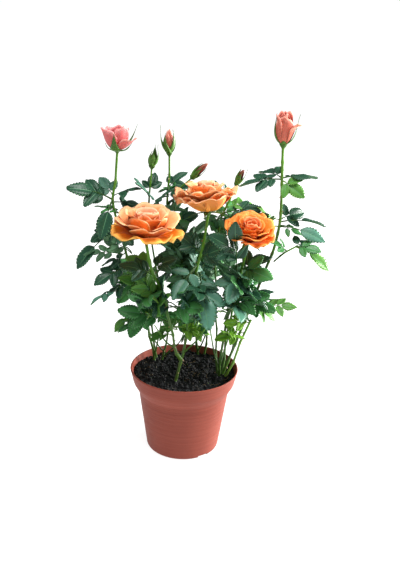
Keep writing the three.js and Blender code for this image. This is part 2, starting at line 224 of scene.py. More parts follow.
class Finish:
    """A node material that is built up step by step."""

    def __init__(self, name, colour, roughness, **sockets):
        self.material = bpy.data.materials.new(name)
        self.material.use_nodes = True
        self.tree = self.material.node_tree
        self.shader = self.tree.nodes["Principled BSDF"]
        self.shader.inputs["Base Color"].default_value = (*colour, 1)
        self.shader.inputs["Roughness"].default_value = roughness
        for socket, value in sockets.items():
            self.shader.inputs[socket.replace("_", " ")].default_value = value

    def node(self, kind, **settings):
        """A new node with its properties set."""
        node = self.tree.nodes.new("ShaderNode" + kind)
        for name, value in settings.items():
            setattr(node, name, value)
        return node

    def feed(self, socket, source):
        """Links a source to a socket, or sets the socket where the source is a plain value."""
        if isinstance(source, bpy.types.NodeSocket):
            self.tree.links.new(source, socket)
        else:
            socket.default_value = source

    def place(self, stretch=(1, 1, 1)):
        """The point on the object, in metres, stretched along each axis."""
        mapping = self.node("Mapping")
        self.feed(mapping.inputs["Vector"], self.node("TexCoord").outputs["Object"])
        mapping.inputs["Scale"].default_value = stretch
        return mapping.outputs["Vector"]

    def grown(self):
        """How far across and along the growth map a point is, as two outputs."""
        parts = self.node("SeparateXYZ")
        self.feed(parts.inputs[0], self.node("UVMap", uv_map="growth").outputs["UV"])
        return parts.outputs["X"], parts.outputs["Y"]

    def noise(self, scale, detail=3.0, at=None):
        """Cloudy noise, with so many cycles to the metre."""
        noise = self.node("TexNoise")
        self.feed(noise.inputs["Vector"], at or self.place())
        noise.inputs["Scale"].default_value = scale
        noise.inputs["Detail"].default_value = detail
        return noise.outputs["Fac"]

    def maths(self, kind, *values):
        """A math node on sources or plain numbers."""
        node = self.node("Math", operation=kind)
        for socket, value in zip(node.inputs, values):
            self.feed(socket, value)
        return node.outputs[0]

    def spread(self, value, low, high, least, most):
        """value from low..high, moved to least..most and held there."""
        node = self.node("MapRange")
        for socket, source in zip(node.inputs, (value, low, high, least, most)):
            self.feed(socket, source)
        return node.outputs[0]

    def cloud(self, scale, detail, least, most):
        """Cloudy noise that runs from least to most."""
        return self.spread(self.noise(scale, detail), *NOISE_RANGE, least, most)

    def ramp(self, value, *stops):
        """Colours by a value: each stop is a place and a colour."""
        ramp = self.node("ValToRGB")
        points = ramp.color_ramp.elements
        while len(points) < len(stops):
            points.new(0.5)
        for point, (place, colour) in zip(points, stops):
            point.position = place
            point.color = (*colour, 1)
        self.feed(ramp.inputs[0], value)
        return ramp.outputs[0]

    def colour(self, source):
        self.feed(self.shader.inputs["Base Color"], source)

    def roughness(self, source):
        self.feed(self.shader.inputs["Roughness"], source)

    def bump(self, height, strength, depth):
        """Fine relief, at most so deep."""
        node = self.node("Bump")
        node.inputs["Strength"].default_value = strength
        node.inputs["Distance"].default_value = depth
        self.feed(node.inputs["Height"], height)
        self.feed(self.shader.inputs["Normal"], node.outputs[0])


# ---- pot and soil --------------------------------------------------------------------------

POT_LOW, POT_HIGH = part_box("pot")
RIM_RADIUS = (POT_HIGH.x - POT_LOW.x) / 2
POT_HEIGHT = POT_HIGH.z
SOIL_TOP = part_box("soil")[1].z
BASE_RADIUS = 41 * MM
BODY_TOP_RADIUS = 51.4 * MM
COLLAR_FOOT_RADIUS = 55.6 * MM
COLLAR_FOOT = POT_HEIGHT - 20 * MM
SHOULDER = 4.2 * MM
BASE_ROUNDING = 4 * MM
LIP_HEIGHT, LIP_ROUNDING = 2 * MM, 0.9 * MM
HUB_RADIUS = 0.5 * MM  # the base has a pinhole, so that no face has a corner on the axis
WALL = 1.8 * MM
POT_FLOOR = 2.4 * MM
POT_SIDES = 144
RIDGE_PITCH = 2.7 * MM
RIDGE_STEPS = 8
FINE_RIDGE = 0.37  # the pitch of the fine ridges, as a share of the others'
RIDGE_DEPTH = 0.26 * MM
RIDGED_AT = np.array((9, 40, 60, 84, 92)) * MM
RIDGED_SHARE = (0, 0.6, 1, 0.6, 0)  # of the ridges' depth, at those heights
SHOULDER_FROM, SHOULDER_TO = 68 * MM, 82 * MM  # the heights between which the body widens to the collar
DRAIN_SLOTS = 3
DRAIN_WIDTH, DRAIN_HEIGHT = 13 * MM, 3.4 * MM
DRAIN_REACH = (34 * MM, 50 * MM)
DRAIN_BEARING = math.radians(-53)


def arc(centre, radius, start, end, count):
    """Points round a centre in the plane of radius and height, between two angles in degrees."""
    angle = np.radians(np.linspace(start, end, count))
    return np.stack([centre[0] + radius * np.cos(angle), centre[1] + radius * np.sin(angle)], -1)


def ridged_wall():
    """The outside from foot to lip: a body with fine rings turned into it, a soft shoulder, and a collar."""
    height = np.arange(BASE_ROUNDING, POT_HEIGHT - LIP_HEIGHT, RIDGE_PITCH / RIDGE_STEPS)
    body = np.interp(height, (BASE_ROUNDING, COLLAR_FOOT), (BASE_RADIUS, BODY_TOP_RADIUS))
    collar = np.interp(height, (COLLAR_FOOT, POT_HEIGHT), (COLLAR_FOOT_RADIUS, RIM_RADIUS))
    step = np.clip((height - SHOULDER_FROM) / (SHOULDER_TO - SHOULDER_FROM), 0, 1)
    radius = body + (collar - body) * step ** 2 * (3 - 2 * step)
    shown = np.interp(height, RIDGED_AT, RIDGED_SHARE)
    fine_wave = np.cos(2 * math.pi * height / (FINE_RIDGE * RIDGE_PITCH))
    wave = np.cos(2 * math.pi * height / RIDGE_PITCH) + 0.5 * fine_wave
    radius -= RIDGE_DEPTH * shown * (0.5 + 0.33 * wave)
    return np.stack([radius, height], -1)


def pot_outline():
    """The wall's outline, from the middle of the underside, out and up to the lip, and back down inside."""
    foot = arc((BASE_RADIUS - BASE_ROUNDING, BASE_ROUNDING), BASE_ROUNDING, -90, -8, 7)
    lip = arc((RIM_RADIUS - LIP_ROUNDING, POT_HEIGHT - LIP_ROUNDING), LIP_ROUNDING, -20, 180, 12)
    inside = [(COLLAR_FOOT_RADIUS - WALL, COLLAR_FOOT + WALL),
              (BODY_TOP_RADIUS - WALL, COLLAR_FOOT - SHOULDER),
              (BASE_RADIUS - WALL, POT_FLOOR + MM),
              (BASE_RADIUS - WALL - MM, POT_FLOOR),
              (HUB_RADIUS, POT_FLOOR)]
    return np.vstack([[(HUB_RADIUS, 0)], foot, ridged_wall(), lip, inside])


def lathe(heap, outline, sides, slot):
    """A closed ring of an outline turned about the upright axis."""
    angle = np.linspace(0, 2 * math.pi, sides, endpoint=False)
    spin = np.stack([np.cos(angle), np.sin(angle)], -1)
    flat = outline[:, None, :1] * spin[None]
    wall = np.concatenate([flat, np.broadcast_to(outline[:, None, 1:], flat.shape[:2] + (1,))], -1)
    heap.add(wall, ring_quads(len(outline), sides)[:, ::-1], slot)


def drain_cutter():
    """Blocks that cut the drainage slots through the foot of the wall."""
    heap = Heap()
    for turn in range(DRAIN_SLOTS):
        angle = DRAIN_BEARING + turn * 2 * math.pi / DRAIN_SLOTS
        out = np.array((math.cos(angle), math.sin(angle), 0.0))
        side = np.cross(UP, out)
        corners = [out * r + side * s * DRAIN_WIDTH / 2 + UP * z for r in DRAIN_REACH
                   for s in (-1, 1) for z in (-MM, DRAIN_HEIGHT)]
        faces = [(0, 1, 3, 2), (4, 6, 7, 5), (0, 4, 5, 1), (2, 3, 7, 6), (0, 2, 6, 4), (1, 5, 7, 3)]
        heap.add(corners, faces, 0)
    mesh = bpy.data.meshes.new("drain_cutter")
    mesh.from_pydata(np.vstack(heap.points).tolist(), [], heap.faces)
    return new_object("drain_cutter", mesh)


def cut_away(piece, cutter):
    """Cuts one mesh from another, and keeps only the result."""
    cut = piece.modifiers.new("cut", "BOOLEAN")
    cut.operation, cut.solver, cut.object = "DIFFERENCE", "EXACT", cutter
    bpy.context.view_layer.update()
    result = bpy.data.meshes.new_from_object(piece.evaluated_get(bpy.context.evaluated_depsgraph_get()))
    piece.modifiers.clear()
    piece.data = result
    bpy.data.objects.remove(cutter)


def pot_plastic():
    """Satin brick-red plastic, banded level by level, with faint scuffs."""
    brick = srgb(138, 68, 55)
    finish = Finish("pot_plastic", brick, 0.55, Specular_IOR_Level=0.14)
    bands = finish.noise(60, 4, finish.place((0.12, 0.12, 9)))
    cloud = finish.noise(26, 3)
    tone = finish.maths("MULTIPLY_ADD", cloud, 0.4, finish.maths("MULTIPLY", bands, 0.6))
    finish.colour(finish.ramp(tone, (0.3, srgb(130, 62, 50)), (0.5, brick), (0.7, srgb(146, 74, 60))))
    scuff = finish.noise(900, 2, finish.place((0.15, 0.15, 1)))
    finish.roughness(finish.spread(scuff, 0.35, 0.7, 0.48, 0.64))
    finish.bump(finish.maths("ADD", bands, finish.noise(2600, 2)), 0.25, 0.12 * MM)
    return finish.material


def make_pot():
    """The pot, turned in one piece and then cut for its drainage slots."""
    heap = Heap()
    lathe(heap, pot_outline(), POT_SIDES, 0)
    pot = heap.piece("pot_wall", [pot_plastic()], "pot", "pot")
    cut_away(pot, drain_cutter())
    pot.data.set_sharp_from_angle(angle=math.radians(40))


SOIL_RADIUS = RIM_RADIUS - 2.9 * MM
SOIL_HUB = 0.4 * MM  # a pinhole, as in the pot's base
SOIL_SIDES, SOIL_RINGS = 220, 56
SOIL_GAP = MM  # to the wall, below the collar
SOIL_SINK, SOIL_DISH = 0.6 * MM, 1.4 * MM
# The waves in the soil: how long each is and how high, in mm.
SOIL_WAVES_MM = ((41, 0.5), (27, 0.4), (15, 0.35), (11, 0.3), (7, 0.3), (5, 0.3), (3.3, 0.28), (2.4, 0.22))
CRUMBS = 950
FIBRES = 34
FLECKS = 60
PEAT, PEAT_BROWN, PALE_BIT, GREEN_BIT, FIBRE = range(5)


def ripple(x, y, waves):
    """How high uneven ground is above its level: a sum of waves, for arrays of places in metres."""
    total = 0
    for size, angle, phase, depth in waves:
        along = x * math.cos(angle) + y * math.sin(angle)
        total = total + depth * np.sin(along * 2 * math.pi / size + phase)
    return total


def soil_waves():
    """Two waves of each size, which run different ways."""
    dice = random.Random("soil waves")
    return [(size * MM, dice.uniform(0, math.pi), dice.uniform(0, 6.3), depth * MM)
            for size, depth in SOIL_WAVES_MM for _ in range(2)]


SOIL_WAVES = soil_waves()


def soil_height(x, y):
    """How high the soil's surface is: a little lower at the pot's wall than round the canes."""
    far = np.hypot(x, y) / SOIL_RADIUS
    return SOIL_TOP - SOIL_SINK - SOIL_DISH * far ** 3 + ripple(x, y, SOIL_WAVES)


def soil_body(heap):
    """The plug of soil: an uneven top on a tapered block that fills the pot."""
    radii = np.linspace(SOIL_HUB, SOIL_RADIUS, SOIL_RINGS)
    angle = np.linspace(0, 2 * math.pi, SOIL_SIDES, endpoint=False)
    x, y = radii[:, None] * np.cos(angle), radii[:, None] * np.sin(angle)
    top = np.stack([x, y, soil_height(x, y)], -1)
    below = [(COLLAR_FOOT_RADIUS - WALL - SOIL_GAP, COLLAR_FOOT + 3 * MM),
             (BODY_TOP_RADIUS - WALL - SOIL_GAP, COLLAR_FOOT - SHOULDER),
             (BASE_RADIUS - WALL - SOIL_GAP, POT_FLOOR + 0.5 * MM), (SOIL_HUB, POT_FLOOR + 0.5 * MM)]
    rings = [np.stack([r * np.cos(angle), r * np.sin(angle), np.full(SOIL_SIDES, z)], -1) for r, z in below]
    wall = np.concatenate([top, np.array(rings)])
    heap.add(wall, ring_quads(len(wall), SOIL_SIDES), PEAT)


def lump_shape():
    """The corners and faces of a twenty-sided lump of radius 1."""
    tall = (1 + math.sqrt(5)) / 2
    corners = np.array([(x, y * tall, 0) for y in (-1, 1) for x in (-1, 1)])
    corners = np.vstack([corners, np.roll(corners, 1, 1), np.roll(corners, 2, 1)])
    corners = corners / np.linalg.norm(corners[0])
    neighbours = np.linalg.norm(corners[:, None] - corners[None], axis=-1) < 1.1
    faces = [(i, j, k) for i in range(12) for j in range(i + 1, 12) for k in range(j + 1, 12)
             if neighbours[i, j] and neighbours[j, k] and neighbours[i, k]]
    outward = [f if np.dot(np.cross(corners[f[1]] - corners[f[0]], corners[f[2]] - corners[f[0]]),
                           corners[f[0]]) > 0 else f[::-1] for f in faces]
    return corners, np.array(outward)


def crumbs(heap):
    """Loose crumbs of peat, with a few pale and green bits, spread over the soil."""
    dice = np.random.default_rng(11)
    corners, faces = lump_shape()
    for number in range(CRUMBS + FLECKS):
        fleck = number >= CRUMBS
        size = (dice.uniform(0.4, 0.9) if fleck else dice.uniform(0.5, 1.9) ** 1.3) * MM
        far = SOIL_RADIUS * math.sqrt(dice.uniform(0, 0.95))
        turn = dice.uniform(0, 2 * math.pi)
        x, y = far * math.cos(turn), far * math.sin(turn)
        place = np.array((x, y, soil_height(x, y) + 0.2 * size))
        shape = corners * dice.uniform(0.6, 1.15, (12, 1)) * dice.uniform((0.8, 0.8, 0.5), (1.5, 1.2, 0.9))
        c, s = math.cos(turn * 7), math.sin(turn * 7)
        shape = shape @ np.array([(c, s, 0), (-s, c, 0), (0, 0, 1)])
        kind = (PALE_BIT if number % 4 else GREEN_BIT) if fleck else (PEAT_BROWN if number % 6 == 0 else PEAT)
        heap.add(place + shape * size, faces, kind)


def fibres(heap):
    """Short dry fibres lying on the soil."""
    dice = np.random.default_rng(12)
    for _ in range(FIBRES):
        far = SOIL_RADIUS * math.sqrt(dice.uniform(0, 0.85))
        turn, aim = dice.uniform(0, 2 * math.pi, 2)
        length = dice.uniform(3, 9) * MM
        t = np.linspace(-0.5, 0.5, 5)
        x = far * math.cos(turn) + t * length * math.cos(aim) + 0.1 * length * np.cos(3 * t)
        y = far * math.sin(turn) + t * length * math.sin(aim)
        path = np.stack([x, y, soil_height(x, y) + dice.uniform(0.3, 0.9) * MM], -1)
        tube(heap, path, np.full(5, dice.uniform(0.12, 0.28) * MM), 5, FIBRE)


# Each kind of soil: its name, its dark, middle and light tones, and how many grains to the metre.
EARTHS = (
    ("peat", (9, 10, 12), (22, 24, 26), (58, 60, 60), 900),
    ("peat_brown", (24, 22, 20), (42, 38, 34), (74, 66, 58), 1200),
    ("pale_bit", (120, 112, 96), (160, 152, 130), (196, 188, 168), 1500),
    ("green_bit", (60, 84, 40), (90, 120, 56), (126, 150, 82), 1500),
    ("dry_fibre", (84, 70, 48), (118, 98, 68), (150, 128, 92), 1500),
)


def earth(name, dark, mid, light, scale):
    """Crumbly matter in three tones."""
    dark, mid, light = srgb(*dark), srgb(*mid), srgb(*light)
    finish = Finish(name, mid, 0.95, Specular_IOR_Level=0.25)
    grain = finish.noise(scale, 6)
    finish.colour(finish.ramp(grain, (0.36, dark), (0.52, mid), (0.7, light)))
    finish.roughness(finish.spread(grain, *NOISE_RANGE, 0.8, 1.0))
    finish.bump(finish.noise(scale * 1.7, 5), 0.8, 0.6 * MM)
    return finish.material


def make_soil():
    """The soil, with what lies on it, as one piece."""
    heap = Heap()
    soil_body(heap)
    crumbs(heap)
    fibres(heap)
    heap.piece("soil_surface", [earth(name, *tones) for name, *tones in EARTHS], "soil", "soil")


# ---- canes ---------------------------------------------------------------------------------

RING_GAP = 3.5 * MM  # the rings of a CAD cane are further apart in height than this
SKIN_STEP = 1.3 * MM
SKIN_SIDES = 14
NODE_SPACING = 27 * MM
KNEE = 1.3 * MM
SLENDER = (0.84, 1.08)  # a cane's thickness at its foot and at its top, as shares of the CAD's
NODE_SWELL, NODE_ROWS = 0.26, 1.6  # how much a cane swells at a node, and over how many rows
SHOOT_TAPER = (0.62, 0.36)  # a side shoot's thickness at its ends, as shares of its cane's
SHORTEST_THORNY, ROWS_PER_THORN = 60, 9  # in rows of the skin
THORN_TAPER = (0.62 * MM, 0.34 * MM, 0.06 * MM)
CANE_SKIN, THORN = 0, 1


def node_rows(count, dice):
    """The rows of a limb, out of so many, at which it has nodes."""
    rows, place = [], dice.uniform(0.3, 0.8) * NODE_SPACING / SKIN_STEP
    while place < count - 6:
        rows.append(place)
        place += dice.uniform(0.75, 1.25) * NODE_SPACING / SKIN_STEP
    return rows


class Limb:
    """A CAD cane's centre line and thickness, from the rings of its mesh, with knees at its nodes."""

    def __init__(self, node):
        corners = np.array([v.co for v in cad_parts[node].data.vertices])
        corners = np.unique(np.round(corners, 6), axis=0)
        corners = corners[corners[:, 2].argsort()]
        gaps = np.flatnonzero(np.diff(corners[:, 2]) > RING_GAP) + 1
        rings = []
        for ring in np.split(corners, gaps):
            centre = (ring.min(0) + ring.max(0)) / 2
            rings.append((*centre, np.linalg.norm(ring - centre, axis=1).max()))
        line = smooth_path(rings, SKIN_STEP)
        self.path, self.radii = line[:, :3], line[:, 3]
        dice = random.Random(node)
        self.nodes = node_rows(len(line), dice)
        knees = [KNEE * (-1) ** i for i in range(len(self.nodes))]
        offset = np.interp(np.arange(len(line)), [0, *self.nodes, len(line) - 1], [0, *knees, 0])
        self.path = self.path + offset[:, None] * heading(dice.uniform(0, 360), 0)

    def at(self, height):
        """The point of the centre line at a height, and its radius there."""
        i = int(np.clip(np.searchsorted(self.path[:, 2], height), 1, len(self.path) - 1))
        return self.path[i], self.radii[i]


def is_limb(node):
    """Whether a CAD node is a cane, a branch or a shoot."""
    return node.startswith(("cane_", "branch_", "shoot_"))


LIMBS = {node: Limb(node) for node in sorted(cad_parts) if is_limb(node)}


def skin(heap, limb):
    """The cane with its relief: swollen nodes and faint long ridges."""
    rows = np.arange(len(limb.path))[:, None]
    turn = np.linspace(0, 2 * math.pi, SKIN_SIDES, endpoint=False)[None]
    relief = 0.035 * np.cos(5 * turn + rows * 0.03) + 0.02 * np.sin(rows * 0.9 + 2 * turn)
    for place in limb.nodes:
        relief = relief + NODE_SWELL * np.exp(-((rows - place) / NODE_ROWS) ** 2)
    slender = np.interp(rows, (0, len(rows) - 1), SLENDER)
    tube(heap, limb.path, limb.radii[:, None] * slender * (1 + relief), SKIN_SIDES, CANE_SKIN)


# Side shoots low on the canes: the height at which each leaves its cane, then its bends and its end, in mm.
LOW_SHOOTS = {
    "cane_left_inner": [(93, (-17, 22, 105), (-5, 16, 121), (2, 10, 150)),
                        (100, (-37, 26, 118), (-52, 22, 150))],
    "cane_left_tall": [(96, (-32, 20, 112), (-26, 12, 152))],
    "cane_front_left": [(132, (-20, -30, 140), (-32, -33, 160))],
    "cane_front_centre": [(122, (5, -24, 131), (15, -28, 144), (24, -31, 162))],
    "cane_back_left": [(94, (20, 34, 112), (30, 22, 150))],
    "cane_right_bloom": [(100, (33, -12, 118), (26, -18, 156)), (96, (40, -20, 114), (50, -30, 160))],
    "cane_right_tall": [(110, (52, -14, 126), (56, -22, 162))],
}


def low_shoots(heap, node, limb):
    """The thin side shoots of one cane."""
    for height, *rest in LOW_SHOOTS.get(node, ()):
        root, thick = limb.at(height * MM)
        path = smooth_path([root, *(np.array(point) * MM for point in rest)], 2 * MM)
        tube(heap, path, np.linspace(*SHOOT_TAPER, len(path)) * thick, 8, CANE_SKIN)


def thorns(heap, limb, count, dice):
    """Small prickles that hook downwards."""
    side, other = sides_along(limb.path)
    for _ in range(count):
        i = dice.randrange(6, len(limb.path) - 10)
        turn = dice.uniform(0, 2 * math.pi)
        out = side[i] * math.cos(turn) + other[i] * math.sin(turn)
        ahead = unit(limb.path[i + 1] - limb.path[i])
        length = dice.uniform(1.5, 2.6) * MM
        foot = limb.path[i] + out * limb.radii[i] * 0.7
        middle, tip = ahead * length * 0.1, ahead * length * 0.55
        path = [foot, foot + out * length * 0.6 - middle, foot + out * length - tip]
        tube(heap, path, THORN_TAPER, 6, THORN)


# Each bark's colour at the foot, middle and top of a cane. Canes that BARK_OF leaves out have the inner one.
BARKS = {
    "fresh": ((70, 98, 36), (56, 100, 28), (88, 140, 36)),
    "pale": ((110, 142, 52), (100, 142, 50), (96, 142, 48)),
    # This bark is darker in the middle of the cane than at its foot and top.
    "dark_middle": ((74, 108, 38), (36, 62, 26), (92, 142, 38)),
    "inner": ((62, 92, 34), (46, 82, 28), (86, 136, 38)),
}
BARK_OF = {"cane_right_tall": "dark_middle", "cane_right_pale": "pale", "cane_front_left": "fresh",
           "cane_left_tall": "fresh", "cane_front_centre": "fresh", "shoot_middle": "fresh"}


def bark(name, foot, middle, top):
    """Smooth green bark that changes from foot to top, streaked along its length."""
    finish = Finish("bark_" + name, srgb(*middle), 0.42, Specular_IOR_Level=0.25)
    _, along = finish.grown()
    streak = finish.noise(240, 4, finish.place((1, 1, 0.12)))
    value = finish.maths("ADD", along, finish.spread(streak, *NOISE_RANGE, -0.14, 0.14))
    finish.colour(finish.ramp(value, (0.02, srgb(*foot)), (0.45, srgb(*middle)), (0.95, srgb(*top))))
    finish.roughness(finish.cloud(1800, 2, 0.34, 0.5))
    finish.bump(streak, 0.35, 0.15 * MM)
    return finish.material


def thorn_surface():
    """Dry brown prickles."""
    finish = Finish("thorn", srgb(140, 110, 70), 0.4)
    finish.roughness(finish.cloud(2000, 2, 0.3, 0.5))
    return finish.material


def make_canes():
    """Every cane, shoot and branch as a skin of its own."""
    barks = {name: bark(name, *tones) for name, tones in BARKS.items()}
    thorn = thorn_surface()
    for node, limb in LIMBS.items():
        dice = random.Random(node)
        heap = Heap()
        skin(heap, limb)
        low_shoots(heap, node, limb)
        if len(limb.path) > SHORTEST_THORNY:
            thorns(heap, limb, len(limb.path) // ROWS_PER_THORN, dice)
        heap.piece("skin_" + node, [barks[BARK_OF.get(node, "inner")], thorn], "cane", node)


# ---- leaves --------------------------------------------------------------------------------

DEEP, BLUE, MID, FRESH, BRIGHT, UNDER, UNDER_YOUNG, RIB = range(8)
YOUNG = (FRESH, BRIGHT)
STALK_OLD, STALK_YOUNG = 0, 1
TEETH = 9
LEAF_ROWS = 2 * TEETH + 1
LEAF_COLUMNS = np.array((-1, -0.68, -0.34, -0.035, 0.035, 0.34, 0.68, 1))
LEAF_HALF = 0.78
TOOTH_DEPTH, TOOTH_REACH = 0.11, 0.02
VEIN_SWEEP = 0.16
QUILT = 0.05
LEAF_THICKNESS = 0.32 * MM
STIPULE_ROWS = 9
STIPULE_COLUMNS = np.array((-1, -0.3, 0.3, 1))
STIPULE_HALF, STIPULE_THICKNESS = 0.9 * MM, 0.3 * MM
STIPULE_BEND = 0.5
# As shares of the end leaflet's length: how much of it lies past its stalk, and the stalk's thickness.
BLADE_SHOWN, STALK_THICKNESS = 0.93, 0.028
STALK_TAPER = (1.25, 0.6)
STALK_POINTS = 9
SHORTEST_STALK = 0.4  # of the leaf's reach
LEAFLET_SPREAD = (46, 70)  # degrees between a stalk and its leaflets


def leaflet_slots(tone):
    """The material of each face of a leaflet: one for its top, one for its underside, and a rib."""
    columns = len(LEAF_COLUMNS) - 1
    rib = np.tile(np.arange(columns), LEAF_ROWS - 1) == columns // 2
    under = UNDER_YOUNG if tone in YOUNG else UNDER
    return np.concatenate([np.where(rib, RIB, tone), np.where(rib, RIB, under)])


def leaflet(heap, base, way, face, length, tone, dice, slim=1.0):
    """A toothed leaflet from its stalk end: folded at the rib, quilted between veins, drooping to its tip."""
    edge = np.linspace(0.004, 0.985, LEAF_ROWS)[:, None]
    tooth = (np.arange(LEAF_ROWS) % 2)[:, None]
    side = LEAF_COLUMNS[None]
    far = np.abs(side)
    rib = edge - VEIN_SWEEP * np.sin(math.pi * edge)
    half = LEAF_HALF * slim * edge ** 0.55 * (1 - edge) ** 0.85 * (1 + TOOTH_DEPTH * (tooth - 0.5))
    x = rib + (edge + TOOTH_REACH * tooth - rib) * far
    y = half * side
    ripple_phase = dice.uniform(0, 2 * math.pi)
    z = QUILT * (1 - tooth) * np.sin(math.pi * far) - 0.006 * (far < 0.1)
    z = z + 0.025 * far ** 2 * np.sin(9 * edge + ripple_phase) * np.sign(side)
    top = np.stack([x, y, z], -1)
    under = top[1:-1, 1:-1].copy()
    under[..., 2] -= LEAF_THICKNESS / length * (1 + 1.2 * (far[:, 1:-1] < 0.1))
    shape = blade_corners(top, under)
    fold, bow = math.radians(dice.uniform(4, 22)), dice.uniform(0.1, 0.6)
    shape[:, 2] += np.abs(shape[:, 1]) * math.sin(fold) - bow * shape[:, 1] ** 2
    arch, twist = dice.uniform(0.1, 0.55), dice.uniform(-0.35, 0.35)
    c, s = np.cos(arch * shape[:, 0]), np.sin(arch * shape[:, 0])
    shape[:, 0], shape[:, 2] = s / arch + shape[:, 2] * s, shape[:, 2] * c - (1 - c) / arch
    c, s = np.cos(twist * shape[:, 0]), np.sin(twist * shape[:, 0])
    shape[:, 1], shape[:, 2] = shape[:, 1] * c - shape[:, 2] * s, shape[:, 1] * s + shape[:, 2] * c
    faces = np.vstack(blade_grid(LEAF_ROWS, len(LEAF_COLUMNS)))
    heap.add(base + length * (shape @ blade_axes(way, face)), faces, leaflet_slots(tone))


def stipule(heap, base, way, face, length, slot, dice):
    """A narrow pointed blade beside the foot of a stalk, which bends back towards its tip."""
    t = np.linspace(0.02, 0.985, STIPULE_ROWS)[:, None]
    side = STIPULE_COLUMNS[None]
    width = STIPULE_HALF * (t ** 0.35) * (1 - t) * 1.5
    angle = STIPULE_BEND * t
    z = 0.35 * width * (side ** 2 - 0.3)
    x = np.sin(angle) / STIPULE_BEND * length + z * np.sin(angle)
    drop = (1 - np.cos(angle)) / STIPULE_BEND * length
    sway = dice.uniform(-0.12, 0.12) * length * t ** 2
    top = np.stack([x, width * side + sway, z * np.cos(angle) - drop], -1)
    under = top[1:-1, 1:-1] - UP * STIPULE_THICKNESS
    faces = np.vstack(blade_grid(STIPULE_ROWS, len(STIPULE_COLUMNS)))
    heap.add(base + blade_corners(top, under) @ blade_axes(way, face), faces, slot)


def drooping_path(base, way, length, droop):
    """A stalk that starts one way and bends towards the ground."""
    level = np.cross(way, UP)
    axis = unit(level) if np.linalg.norm(level) > 0.05 else np.array((1.0, 0.0, 0.0))
    points = [np.asarray(base, float)]
    for i in range(STALK_POINTS - 1):
        onward = turned(way, axis, -droop * i / STALK_POINTS)
        points.append(points[-1] + onward * length / (STALK_POINTS - 1))
    return np.array(points)


# The pairs of leaflets in a leaf of so many: where each pair is along the stalk, and its size against
# the end leaflet's.
PAIRS = {
    1: (),
    3: ((0.6, 0.78),),
    5: ((0.5, 0.62), (0.8, 0.82)),
    7: ((0.36, 0.6), (0.6, 0.76), (0.84, 0.88)),
}


def stalk_kind(tone):
    """The stalk's material for a leaf of a tone."""
    return STALK_YOUNG if tone in YOUNG else STALK_OLD


def compound_leaf(leaves, stalks, base, way, face, reach, count, blade, tone, droop, dice):
    """A rose leaf: a stalk with stipules, pairs of leaflets, and one leaflet at its end."""
    way = unit(way)
    stalk = max(reach - BLADE_SHOWN * blade, SHORTEST_STALK * reach)
    path = drooping_path(base, way, stalk, droop)
    thick = STALK_THICKNESS * blade
    kind = stalk_kind(tone)
    from_thick, to_thick = STALK_TAPER
    tube(stalks, path, np.linspace(from_thick * thick, to_thick * thick, len(path)), 6, kind)
    for sign in (-1, 1):
        side = np.cross(across(face, way), way) * sign
        stipule(stalks, path[0], way + 0.35 * side, side, 0.24 * blade, kind, dice)
    for place, size in PAIRS[count]:
        i = min(int(place * (len(path) - 1)), len(path) - 2)
        point = path[i] + (path[i + 1] - path[i]) * (place * (len(path) - 1) - i)
        ahead = unit(path[i + 1] - path[i])
        up = across(face, ahead)
        for sign in (-1, 1):
            side = np.cross(up, ahead) * sign
            spread = math.radians(dice.uniform(*LEAFLET_SPREAD))
            out = ahead * math.cos(spread) + side * math.sin(spread) + up * dice.uniform(-0.2, 0.16)
            tilt = up + 0.28 * jolt(dice)
            length = blade * size * dice.uniform(0.9, 1.08)
            leaflet(leaves, point + out * 0.9 * MM, out, tilt, length, tone, dice)
    ahead = unit(path[-1] - path[-2])
    tilt = face + 0.15 * jolt(dice)
    leaflet(leaves, path[-1] - ahead * 0.5 * MM, ahead, tilt, blade, tone, dice, 0.9 if count == 1 else 1.08)


def twig(stalks, start, leave, end, arrive, thick, kind):
    """A bending twig between two points, with the way it leaves and the way it arrives."""
    gap = np.linalg.norm(end - start)
    t = np.linspace(0, 1, max(5, round(gap / (4 * MM))))[:, None]
    a, b = start + leave * gap * 0.4, end - arrive * gap * 0.4
    path = (1 - t) ** 3 * start + 3 * t * (1 - t) ** 2 * a + 3 * t * t * (1 - t) * b + t ** 3 * end
    tube(stalks, path, np.linspace(thick, 0.75 * thick, len(path)), 7, kind)
    return path


class Mass:
    """A CAD leaf mass: which points lie inside it, and how far."""

    def __init__(self, node):
        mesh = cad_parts[node].data
        corners, faces = [v.co for v in mesh.vertices], [p.vertices for p in mesh.polygons]
        self.tree = BVHTree.FromPolygons(corners, faces)
        low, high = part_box(node)
        self.low, self.high = np.array(low), np.array(high)

    def depth(self, point):
        """How far inside the mass's surface a point is, and less than nothing outside."""
        near, normal, _, gap = self.tree.find_nearest(Vector(point))
        return gap if (Vector(point) - near).dot(normal) < 0 else -gap

    def pick(self, dice):
        """A random point inside."""
        while True:
            point = np.array([dice.uniform(a, b) for a, b in zip(self.low, self.high)])
            if self.depth(point) > 0:
                return point


